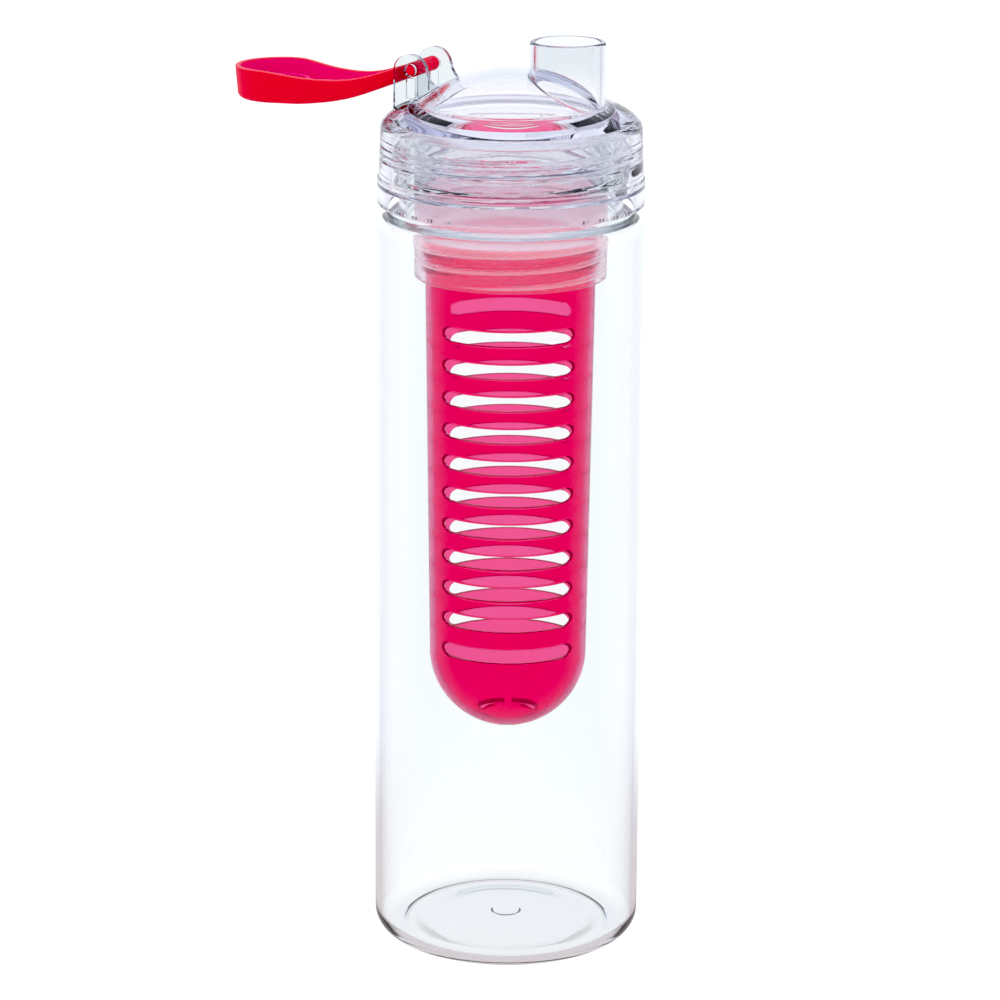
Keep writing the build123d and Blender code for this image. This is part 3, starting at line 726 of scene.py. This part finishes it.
def lug(side):
    y = side * LUG_Y
    pts = [(HX - LUG_R, HZ)]
    foot = lambda x: lid_top(math.hypot(x, LUG_Y)) - 0.75
    pts += [(HX - LUG_R, z) for z in np.linspace(HZ, foot(HX - LUG_R), 10)[1:]]
    pts += [(x, foot(x)) for x in np.linspace(HX - LUG_R, HX + 9.4, 22)[1:]]
    pts += curve([(HX + 9.4, HZ - 3.72), (HX + 7.5, HZ - 3.78), (HX + 6.05, HZ - 2.75),
                  (HX + LUG_R * 0.985, HZ + 0.8)], (-1, -0.03), (-0.25, 1), 22)
    a0 = math.asin(0.8 / 4.3)
    for i in range(1, 30):
        a = a0 + (math.pi - a0) * i / 30
        pts.append((HX + LUG_R * math.cos(a), HZ + 4.3 * math.sin(a)))
    obj = prism("lug", pts, y - LUG_T / 2, y + LUG_T / 2)
    combine(obj, rod("hole", HX, HZ, 1.65, y - 3, y + 3, 48), 'DIFFERENCE')
    yi = side * (LUG_Y - LUG_T / 2)
    box = [(HX - 1.3, HZ - 7.5), (HX + 1.3, HZ - 7.5), (HX + 1.3, HZ - 2.2), (HX - 1.3, HZ - 2.2)]
    combine(obj, prism("relief", box, min(yi - side * 1.0, yi + side * 0.8),
                       max(yi - side * 1.0, yi + side * 0.8)), 'DIFFERENCE')
    return bevel(obj, 0.42, 4, 40)


for side in (1, -1):
    combine(lid, lug(side), 'UNION')
lid.data.materials.clear()
lid.data.materials.append(mat_lid)
smooth(lid, 34)
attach(lid, "lid")
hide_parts("lid")

# ------------------------------------------------------------------ seal
seal = lathe("lid_seal_ring", rounded(
    [(26.2, 224.62, 0.35), (31.0, 224.62, 0.35), (31.0, 226.78, 0.35), (26.2, 226.78, 0.35)],
    5, loop=True), 240, loop=True)
seal.data.materials.append(mat_silicone)
smooth(seal)
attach(seal, "seal")
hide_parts("lid_seal")


# ------------------------------------------------------------------ collar
def collar_profile():
    top = 209.3
    p = rounded([(24.9, 185.6), (25.75, 185.6, 1.25), (25.75, 188.2)], 7)
    p += rows(25.75, 188.2, 25.75, 207.5, 2.2)
    p += rounded([(25.75, 207.5), (25.75, top, 0.4), (24.1, top, 0.3), (24.1, 206.0)], 4)[1:]
    p += rows(24.1, 206.0, 24.1, 200.65, 1.3)
    p += rounded([(24.1, 200.65, 0.15), (24.45, 200.15, 0.1), (24.45, 199.45, 0.1),
                  (24.1, 198.95, 0.15), (24.1, 197.6)], 3)[1:]
    p += [(24.1, 197.6 - 0.2 * i) for i in range(1, 59)]
    p += rounded([(24.1, 186.0), (24.1, 185.6, 0.12), (24.9, 185.6)], 4)[1:-1]
    return p


def collar_push(th, r, z):
    out = np.zeros_like(th)
    if 185.7 < z < 197.5 and 24.0 < r < 24.2:
        out -= thread(th, z, 186.7, 4.2, 9.3, 0.8, 0.83, 0.4, phase=T_AZ)
    return out


collar = lathe("infuser_collar_sleeve", collar_profile(), 288, collar_push, loop=True)
collar.data.materials.append(mat_frosted)
smooth(collar)
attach(collar, "collar")
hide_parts("infuser_collar")

# ------------------------------------------------------------------ basket
SLOTS, S_Z0, S_PITCH, S_HALF, S_RAD = 11, 172.67, 8.795, 14.85, 1.9
SA = math.radians(22.2)
E_AX = np.array((math.cos(SA), math.sin(SA)))
N_AX = np.array((math.sin(SA), -math.cos(SA)))
EDGE = math.radians(78)


def r_out(z):
    if z >= B_DZ:
        return B_RL + (B_RT - B_RL) * (z - B_DZ) / (B_TOP - 0.4 - B_DZ)
    return math.sqrt(max(B_RL ** 2 - (B_DZ - z) ** 2, 0))


def r_in(z):
    if z >= B_DZ:
        return r_out(z) - B_W
    return math.sqrt(max((B_RL - B_W) ** 2 - (B_DZ - z) ** 2, 0))


def basket():
    verts, faces = [], []

    def add(r, phi, z):
        verts.append(((r * (math.sin(phi) * E_AX[0] + math.cos(phi) * N_AX[0])) * MM,
                      (r * (math.sin(phi) * E_AX[1] + math.cos(phi) * N_AX[1])) * MM, z * MM))
        return len(verts) - 1

    def skin(a, b, outside, closed=True):
        n = len(a)
        for j in range(n if closed else n - 1):
            q = (j + 1) % n
            f = (a[j], a[q], b[q], b[j])
            faces.append(f if outside else f[::-1])

    ns, ne, nc, nd = 30, 13, 3, 5
    us = [22.0 * math.sin(t) for t in np.linspace(-math.asin(S_HALF / 22.0),
                                                 math.asin(S_HALF / 22.0), ns + 1)]
    us[0], us[-1] = -S_HALF, S_HALF

    def outline(zc, d):
        """Slot outline pushed out by d, clockwise from the top left."""
        rad = S_RAD + d
        pts = [(u, zc + rad) for u in us]
        for i in range(ne):
            a = math.pi / 2 - math.pi * (i + 1) / (ne + 1)
            pts.append((S_HALF + rad * math.cos(a), zc + rad * math.sin(a)))
        pts += [(u, zc - rad) for u in us[::-1]]
        for i in range(ne):
            a = -math.pi / 2 - math.pi * (i + 1) / (ne + 1)
            pts.append((-S_HALF + rad * math.cos(a), zc + rad * math.sin(a)))
        return pts

    def frame_pts(zc, rf):
        """Cell border as (phi, z), matched to the outline."""
        zt, zb = zc + S_PITCH / 2, zc - S_PITCH / 2
        rt, rb = rf(zt), rf(zb)
        top = [math.asin(u / rt) for u in us]
        bot = [math.asin(u / rb) for u in us]
        pts = [(p, zt) for p in top]
        right = [(top[-1] + (EDGE - top[-1]) * (i + 1) / (nc + 1), zt) for i in range(nc)]
        right += [(EDGE, zt + (zb - zt) * i / (nd + 1)) for i in range(nd + 2)]
        right += [(EDGE + (bot[-1] - EDGE) * (i + 1) / (nc + 1), zb) for i in range(nc)]
        pts += right
        pts += [(p, zb) for p in bot[::-1]]
        pts += [(-p, z) for p, z in right[::-1]]
        return pts

    def band_phis(rf, z):
        t = [math.asin(u / rf(z)) for u in us]
        half = ([-EDGE + (t[0] + EDGE) * i / (nc + 1) for i in range(nc + 1)] + t
                + [t[-1] + (EDGE - t[-1]) * (i + 1) / (nc + 1) for i in range(nc + 1)])
        gap = [EDGE + (math.pi - 2 * EDGE) * (i + 1) / 6 for i in range(5)]
        return half + gap + [h + math.pi for h in half] + [g + math.pi for g in gap]

    for half in (0.0, math.pi):
        for k in range(SLOTS):
            zc = S_Z0 - S_PITCH * k
            ends = []
            for outside, rf, f in ((True, r_out, 0.42), (False, r_in, 0.28)):
                sign = -1 if outside else 1
                rings = []
                for i in range(6):
                    a = math.pi / 2 * i / 5
                    d, dep = f * (1 - math.cos(a)), f * (1 - math.sin(a))
                    ring = []
                    for u, z in outline(zc, d):
                        r = rf(z) + sign * dep
                        ring.append(add(r, half + math.asin(u / r), z))
                    rings.append(ring)
                edge = [(math.asin(u / rf(z)), z) for u, z in outline(zc, f)]
                border = frame_pts(zc, rf)
                for t in (0.12, 0.35, 0.65, 1.0):
                    ring = []
                    for (p0, z0), (p1, z1) in zip(edge, border):
                        z = z0 + (z1 - z0) * t
                        ring.append(add(rf(z), half + p0 + (p1 - p0) * t, z))
                    rings.append(ring)
                for a, b in zip(rings[:-1], rings[1:]):
                    skin(a, b, not outside)
                ends.append(rings[0])
                # strip beside the slots, on the right of this half
                zt, zb = zc + S_PITCH / 2, zc - S_PITCH / 2
                zs = [zt + (zb - zt) * i / (nd + 1) for i in range(nd + 2)]
                cols = []
                for i in range(7):
                    p = half + EDGE + (math.pi - 2 * EDGE) * i / 6
                    cols.append([add(rf(z), p, z) for z in zs])
                for a, b in zip(cols[:-1], cols[1:]):
                    skin(a, b, not outside, closed=False)
            skin(ends[0], ends[1], True)

    # upper band with its thread, over the rim, and down the inside
    zt = S_Z0 + S_PITCH / 2
    ring_o = []
    phis = band_phis(r_out, zt)
    zlist = [zt, zt + 1.5, zt + 3.0, zt + 4.6, 184.0] + list(np.arange(185.6, 196.61, 0.2))
    for z in zlist:
        ring_o.append([add(r_out(z), p, z) for p in phis])
    rim = rounded([(r_out(196.5), 196.5), (B_RT, B_TOP, 0.4), (B_RT - B_W, B_TOP, 0.4),
                   (B_RT - B_W, 196.2)], 4)[1:]
    pin = band_phis(r_in, zt)
    mid = len(rim) // 2
    for i, (r, z) in enumerate(rim):
        ring_o.append([add(r, p, z) for p in (phis if i < mid else pin)])
    for z in [195.0, 193.0, 191.0, 189.0, 187.0, 185.0, 183.0, 181.0, 179.0, zt]:
        ring_o.append([add(r_in(z), p, z) for p in pin])
    for a, b in zip(ring_o[:-1], ring_o[1:]):
        skin(a, b, True)
    # round end, outside and inside
    zb = S_Z0 - S_PITCH * (SLOTS - 0.5)
    for rf, rad, outside in ((r_out, B_RL, True), (r_in, B_RL - B_W, False)):
        ph = band_phis(rf, zb)
        a0 = math.asin((B_DZ - zb) / rad)
        rings = []
        for i in range(30):
            a = a0 + (math.pi / 2 - a0) * i / 30
            rings.append([add(rad * math.cos(a), p, B_DZ - rad * math.sin(a)) for p in ph])
        for a, b in zip(rings[:-1], rings[1:]):
            skin(a, b, not outside)
        pole = add(0, 0, B_DZ - rad)
        n = len(ph)
        for j in range(n):
            f = (rings[-1][j], rings[-1][(j + 1) % n], pole)
            faces.append(f[::-1] if outside else f)
    # external thread
    v = np.array(verts)
    th = np.arctan2(v[:, 1], v[:, 0])
    r = np.hypot(v[:, 0], v[:, 1])
    z = v[:, 2] * 1000
    t = np.array([thread(np.array([a]), b, 186.7, 4.2, 8.4, 0.65, 0.76, 0.4,
                         phase=T_AZ + math.pi)[0]
                  if (185.7 < b < 196.4 and c > 0.0221) else 0.0 for a, b, c in zip(th, z, r)])
    s = np.where(r > 1e-6, (r + t * MM) / np.maximum(r, 1e-9), 1.0)
    v[:, 0] *= s
    v[:, 1] *= s
    obj = new_object("infuser_basket_cup", v, faces)
    return weld(obj, 2e-6)


def arc_cutter(k):
    a0, h = SA + math.pi / 2 * k + math.pi / 4, math.radians(31)
    ro, ri = 9.0, 7.0
    pts = []
    for i in range(13):
        a = a0 - h + 2 * h * i / 12
        pts.append((ro * math.cos(a), ro * math.sin(a)))
    for i in range(1, 8):
        b = math.pi * i / 8
        c = (8 * math.cos(a0 + h), 8 * math.sin(a0 + h))
        d = a0 + h + b
        pts.append((c[0] + math.cos(d), c[1] + math.sin(d)))
    for i in range(13):
        a = a0 + h - 2 * h * i / 12
        pts.append((ri * math.cos(a), ri * math.sin(a)))
    for i in range(1, 8):
        b = math.pi * i / 8
        c = (8 * math.cos(a0 - h), 8 * math.sin(a0 - h))
        d = a0 - h + math.pi + b
        pts.append((c[0] + math.cos(d), c[1] + math.sin(d)))
    n = len(pts)
    verts = [(x * MM, y * MM, 0.056) for x, y in pts] + [(x * MM, y * MM, 0.068) for x, y in pts]
    faces = [tuple(range(n))[::-1], tuple(range(n, 2 * n))]
    faces += [(i, (i + 1) % n, (i + 1) % n + n, i + n) for i in range(n)]
    return weld(new_object("drain", verts, faces), 1e-7)


basket_obj = basket()
for k in range(4):
    combine(basket_obj, arc_cutter(k), 'DIFFERENCE')
basket_obj.data.materials.clear()
basket_obj.data.materials.append(mat_magenta)
smooth(basket_obj, 36)
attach(basket_obj, "basket")
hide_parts("infuser_basket")

# ------------------------------------------------------------------ spout cap
REACH, HOOD, WALL, ARM = SX - HX, 12.9, 1.4, 6.1
DRAFT = math.tan(math.radians(5.0))
FAR = REACH + HOOD
roof_c = np.array(curve([(0, 1.9), (2.5, 2.85), (6.1, 4.35), (12.1, 6.85), (17.5, 8.8),
                         (23, 10.15), (28.5, 10.95), (34, 11.35)], (1, 0.33), (1, 0), 90)
                  + [(80, 11.35)])
rim_c = np.array(curve([(0, -1.9), (2.5, -1.0), (6, 0.3), (10, 1.6), (15, 3.1), (20.5, 4.0),
                        (25.7, 4.15), (31, 3.9), (36.6, 3.2), (42, 2.55), (47, 2.45),
                        (FAR + 1, 2.45)], (1, 0.35), (1, 0), 140))
floor_c = np.array(curve([(4.6, 1.9), (7, 3.05), (12.1, 5.2), (17.5, 7.1), (23, 8.5),
                          (28.5, 9.4), (34, 9.85)], (1, 0.45), (1, 0), 80) + [(80, 9.85)])
roof_w = lambda u: np.interp(u, roof_c[:, 0], roof_c[:, 1])
rim_w = lambda u: np.interp(u, rim_c[:, 0], rim_c[:, 1])
floor_w = lambda u: np.interp(u, floor_c[:, 0], floor_c[:, 1])


def teardrop(inset, start, corner):
    """Plan outline as (u, v), anticlockwise from the middle of the arm's end."""
    rr, v0 = HOOD - inset, ARM - inset
    d = REACH - 5.8
    tilt = math.asin((rr - v0) / d)
    ut, vt = REACH - rr * math.sin(tilt), rr * math.cos(tilt)
    c = corner
    side = []
    side += [(start, v0 * 0.25 * i) for i in range(4)]
    for i in range(5):
        a = math.pi / 2 * i / 4
        side.append((start + c - c * math.cos(a), v0 - c + c * math.sin(a)))
    u1 = start + c
    side += [(u1 + (5.8 - u1) * i / 3, v0) for i in range(1, 3)]
    side += [(5.8 + (ut - 5.8) * i / 34, v0 + (vt - v0) * i / 34) for i in range(35)]
    a0 = math.pi / 2 + tilt
    for i in range(1, 41):
        a = a0 * (1 - i / 40)
        side.append((REACH + rr * math.cos(a), rr * math.sin(a)))
    return side + [(u, -v) for u, v in side[-2:0:-1]]


def drafted(inset, start, corner, height):
    """Outline as (u, v, w) on walls that lean in towards the roof."""
    a = np.array(teardrop(inset, start, corner))
    b = np.array(teardrop(inset + 1, start, corner))
    w = np.array([float(height(u)) for u in a[:, 0]])
    p = a + (b - a) * (DRAFT * (w - 2.45))[:, None]
    return [(u, v, h) for (u, v), h in zip(p, w)]


def cap_shell():
    verts, faces, mats = [], [], []
    n = len(teardrop(0, 0, 0.6))

    def put(pts):
        i0 = len(verts)
        verts.extend(((HX - u) * MM, v * MM, (HZ - w) * MM) for u, v, w in pts)
        return list(range(i0, i0 + n))

    def spine(p, lo, hi, t):
        s = min(max(p[0], lo), hi)
        return s + (p[0] - s) * t, p[1] * t

    rings, kinds = [], []

    def ring(pts, kind):
        rings.append(put(pts))
        kinds.append(kind)

    rnd = 1.5
    drop = lambda u, d: min(d, 0.45 * float(roof_w(u) - rim_w(u)))
    roof = drafted(rnd, rnd * 0.7, 0.5, roof_w)
    for t in (0.0, 0.2, 0.4, 0.6, 0.8, 0.92):
        pts = [spine(p, 7.0, REACH, t) for p in roof]
        ring([(u, v, float(roof_w(u))) for u, v in pts], 0)
    for i in range(9):                                   # rounded edge of the roof
        a = math.pi / 2 * i / 8
        ins, dep = rnd * (1 - math.sin(a)), rnd * (1 - math.cos(a))
        ring(drafted(ins, ins * 0.7, 0.5, lambda u: float(roof_w(u)) - drop(u, dep)), 0)
    for t in (0.25, 0.5, 0.75):
        ring(drafted(0, 0, 0.6, lambda u: (float(roof_w(u)) - drop(u, rnd)) * (1 - t)
                     + (float(rim_w(u)) + 0.3) * t), 0)
    f = 0.32
    # the rim's outer and inner edges take material 2, the red's painted-highlight copy
    for i in range(5):                                   # outer edge of the rim
        a = math.pi / 2 * i / 4
        ins = f * (1 - math.cos(a))
        ring(drafted(ins, ins, 0.6, lambda u: float(rim_w(u)) + f * (1 - math.sin(a))),
             2 if i else 0)
    for i in range(5):                                   # inner edge of the rim
        a = math.pi / 2 * i / 4
        ins = WALL - f * (1 - math.sin(a))
        ring(drafted(ins, 4.6 - (WALL - ins), 1.2,
                     lambda u: float(rim_w(u)) + f * (1 - math.cos(a))), 2)
    # the inner wall, inner corner and floor of the hood take material 1, the red's painted-light copy
    low = lambda u: float(rim_w(u)) + f
    for t in (0.3, 0.6):
        ring(drafted(WALL, 4.6, 1.2, lambda u: low(u) * (1 - t) + (float(floor_w(u)) - 0.7) * t
                     if float(floor_w(u)) - 0.7 > low(u) else low(u) + 0.2 * t), 1)
    for i in range(5):                                   # inner corner at the floor
        a = math.pi / 2 * i / 4
        g = 0.7
        ins = WALL + g * (1 - math.cos(a))
        ring(drafted(ins, 4.6 + (ins - WALL), 1.2,
                     lambda u: max(float(floor_w(u)) - g * (1 - math.sin(a)), low(u) + 0.25)), 1)
    inner = drafted(WALL + 0.7, 5.3, 1.2, lambda u: max(float(floor_w(u)), low(u) + 0.25))
    for t in (0.9, 0.75, 0.5, 0.25, 0.0):
        pts = [spine(p, 9.0, REACH, t) for p in inner]
        ring([(u, v, max(float(floor_w(u)), low(u) + 0.25)) for u, v in pts], 1)
    for (a, ka), (b, kb) in zip(list(zip(rings, kinds))[:-1], list(zip(rings, kinds))[1:]):
        for j in range(n):
            q = (j + 1) % n
            faces.append((a[j], a[q], b[q], b[j]))
            mats.append(kb)
    obj = new_object("spout_cap_hood", verts, faces, mats)
    return weld(obj, 2e-6)


def cap_plug():
    rw = 9.85 + 0.5
    p = rounded([(7.0, HZ - rw), (8.3, HZ - rw), (7.5, HZ - 6.5, 0.5), (7.4, HZ - 6.0, 0.35),
                 (6.1, HZ - 6.0, 0.3), (6.3, HZ - 6.7), (7.0, HZ - rw + 0.5)], 4)
    return lathe("plug", p, 120, loop=True, at=(HX - REACH, 0))


cap = cap_shell()
for m in (mat_red, mat_red_inside_painted_light, mat_red_rim_painted_highlight):
    cap.data.materials.append(m)
# the plug takes material 1, the red's painted-light copy; knuckle and nubs take the plain red
for part, idx in ((cap_plug(), 1), (bevel(rod("knuckle", HX, HZ, 1.95, -6.4, 6.4, 72), 0.3, 3, 40), 0),
                  (bevel(rod("nubs", HX, HZ, 1.25, -8.3, 8.3, 56), 0.3, 3, 40), 0)):
    for m in (mat_red, mat_red_inside_painted_light, mat_red_rim_painted_highlight):
        part.data.materials.append(m)
    part.data.polygons.foreach_set("material_index", np.full(len(part.data.polygons), idx,
                                                            dtype=np.int32))
    combine(cap, part, 'UNION')
smooth(cap, 40)
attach(cap, "cap")
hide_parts("spout_cap")


# ------------------------------------------------------------------ floor, light
FRONT = (0.402, -0.915, 0.0)         # side of the room that is left dark
BACK, SIDE, DARK, ZENITH = (0.88, 0.90, 0.93), (0.62, 0.60, 0.68), (0.13, 0.13, 0.19), (0.82, 0.83, 0.93)
DIM = (0.32, 0.33, 0.43)               # the same side above the horizon
DEEP = (0.40, 0.40, 0.50)


def blend(nt, fac, a, b):
    mx = nt.nodes.new("ShaderNodeMix")
    mx.data_type = 'RGBA'
    for name, c in (("A", a), ("B", b)):
        if isinstance(c, tuple):
            mx.inputs[name].default_value = (*c, 1)
        else:
            nt.links.new(c, mx.inputs[name])
    nt.links.new(fac, mx.inputs["Factor"])
    return mx.outputs["Result"]


def step(nt, src, lo, hi):
    mr = nt.nodes.new("ShaderNodeMapRange")
    mr.interpolation_type = 'SMOOTHSTEP'
    mr.inputs["From Min"].default_value = lo
    mr.inputs["From Max"].default_value = hi
    nt.links.new(src, mr.inputs["Value"])
    return mr.outputs["Result"]


def room(nt, direction, dark):
    """Studio as reflections see it: white round the back and sides, dark towards the front."""
    nm = nt.nodes.new("ShaderNodeVectorMath")
    nm.operation = 'NORMALIZE'
    nt.links.new(direction, nm.inputs[0])
    dt = nt.nodes.new("ShaderNodeVectorMath")
    dt.operation = 'DOT_PRODUCT'
    dt.inputs[1].default_value = FRONT
    nt.links.new(nm.outputs["Vector"], dt.inputs[0])
    sp = nt.nodes.new("ShaderNodeSeparateXYZ")
    nt.links.new(nm.outputs["Vector"], sp.inputs[0])
    sky = blend(nt, step(nt, dt.outputs["Value"], -0.92, -0.60), BACK, SIDE)
    low = blend(nt, step(nt, dt.outputs["Value"], -0.40, 0.35), sky, dark)
    return blend(nt, step(nt, sp.outputs["Z"], 0.02, 0.45), low, ZENITH)


def reflected(nt):
    """1 for mirror reflections, 0 for light seen straight or through and for diffuse light."""
    lp = nt.nodes.new("ShaderNodeLightPath")
    mirror = calc(nt, 'GREATER_THAN', lp.outputs["Glossy Depth"], 0.5)
    matt = calc(nt, 'LESS_THAN', lp.outputs["Diffuse Depth"], 0.5)
    return calc(nt, 'MULTIPLY', mirror, matt), lp


def make_floor():
    s = 4.0
    obj = new_object("floor", [(-s, -s, -0.00002), (s, -s, -0.00002), (s, s, -0.00002),
                               (-s, s, -0.00002)], [(0, 1, 2, 3)])
    m, nt, b, out = material("studio_floor")
    b.inputs["Base Color"].default_value = (0.5, 0.5, 0.5, 1)
    b.inputs["Roughness"].default_value = 0.9
    b.inputs["Specular IOR Level"].default_value = 0.0
    fac, lp = reflected(nt)
    co = nt.nodes.new("ShaderNodeTexCoord")
    em = nt.nodes.new("ShaderNodeEmission")
    ln = nt.nodes.new("ShaderNodeVectorMath")
    ln.operation = 'LENGTH'
    nt.links.new(co.outputs["Object"], ln.inputs[0])
    # light that has been through many walls has lost the dark side
    dark = blend(nt, step(nt, lp.outputs["Ray Depth"], 5.5, 8.5), DARK, DEEP)
    # painted shade: in mirror reflections the floor near the bottle is grey, further out it shows the
    # room
    mirrored_floor_with_shade = blend(nt, step(nt, ln.outputs["Value"], 0.05, 0.20), (0.60, 0.55, 0.57),
                 room(nt, co.outputs["Object"], dark))
    # painted shadow: the floor under the bottle is darker for light seen through the glass
    painted_shadow_under = blend(nt, step(nt, ln.outputs["Value"], 0.028, 0.042), (0.84, 0.83, 0.84), (1.0, 1.0, 1.0))
    nt.links.new(blend(nt, fac, painted_shadow_under, mirrored_floor_with_shade), em.inputs["Color"])
    ad = nt.nodes.new("ShaderNodeMixShader")
    ad.inputs[0].default_value = 0.94
    nt.links.new(b.outputs[0], ad.inputs[1])
    nt.links.new(em.outputs[0], ad.inputs[2])
    nt.links.new(ad.outputs[0], out.inputs["Surface"])
    em.inputs["Strength"].default_value = 1.06
    obj.data.materials.append(m)


def make_world():
    w = bpy.data.worlds.new("studio")
    scene.world = w
    w.use_nodes = True
    nt = w.node_tree
    nt.nodes.clear()
    out = nt.nodes.new("ShaderNodeOutputWorld")
    co = nt.nodes.new("ShaderNodeTexCoord")
    sep = nt.nodes.new("ShaderNodeSeparateXYZ")
    nt.links.new(co.outputs["Generated"], sep.inputs[0])
    rp = nt.nodes.new("ShaderNodeValToRGB")
    cr = rp.color_ramp
    cr.interpolation = 'EASE'
    cr.elements[0].position, cr.elements[0].color = 0.15, (1, 1, 1, 1)
    cr.elements[1].position, cr.elements[1].color = 0.75, (0.86, 0.90, 0.95, 1)
    nt.links.new(sep.outputs["Z"], rp.inputs["Fac"])
    soft = nt.nodes.new("ShaderNodeBackground")
    nt.links.new(rp.outputs["Color"], soft.inputs["Color"])
    refl = nt.nodes.new("ShaderNodeBackground")
    nt.links.new(room(nt, co.outputs["Generated"], DIM), refl.inputs["Color"])
    white = nt.nodes.new("ShaderNodeBackground")
    white.inputs["Color"].default_value = (1, 1, 1, 1)
    white.inputs["Strength"].default_value = 1.05
    fac, lp = reflected(nt)
    m1 = nt.nodes.new("ShaderNodeMixShader")
    nt.links.new(fac, m1.inputs[0])
    nt.links.new(soft.outputs[0], m1.inputs[1])
    nt.links.new(refl.outputs[0], m1.inputs[2])
    m2 = nt.nodes.new("ShaderNodeMixShader")
    nt.links.new(lp.outputs["Is Camera Ray"], m2.inputs[0])
    nt.links.new(m1.outputs[0], m2.inputs[1])
    nt.links.new(white.outputs[0], m2.inputs[2])
    nt.links.new(m2.outputs[0], out.inputs["Surface"])


def area(name, place, target, size_x, size_y, watts, colour=(1, 1, 1)):
    d = bpy.data.lights.new(name, 'AREA')
    d.shape = 'RECTANGLE'
    d.size, d.size_y = size_x, size_y
    d.energy = watts
    d.color = colour
    o = bpy.data.objects.new(name, d)
    bpy.context.scene.collection.objects.link(o)
    o.location = place
    o.rotation_euler = (Vector(target) - Vector(place)).to_track_quat('-Z', 'Y').to_euler()
    o.visible_glossy = False
    o.visible_transmission = False
    return o


make_floor()
make_world()
area("key", (-0.9, -0.9, 1.1), (0, 0, 0.15), 0.7, 0.7, 3)
area("fill", (1.2, -0.5, 0.7), (0, 0, 0.15), 0.7, 0.9, 2)
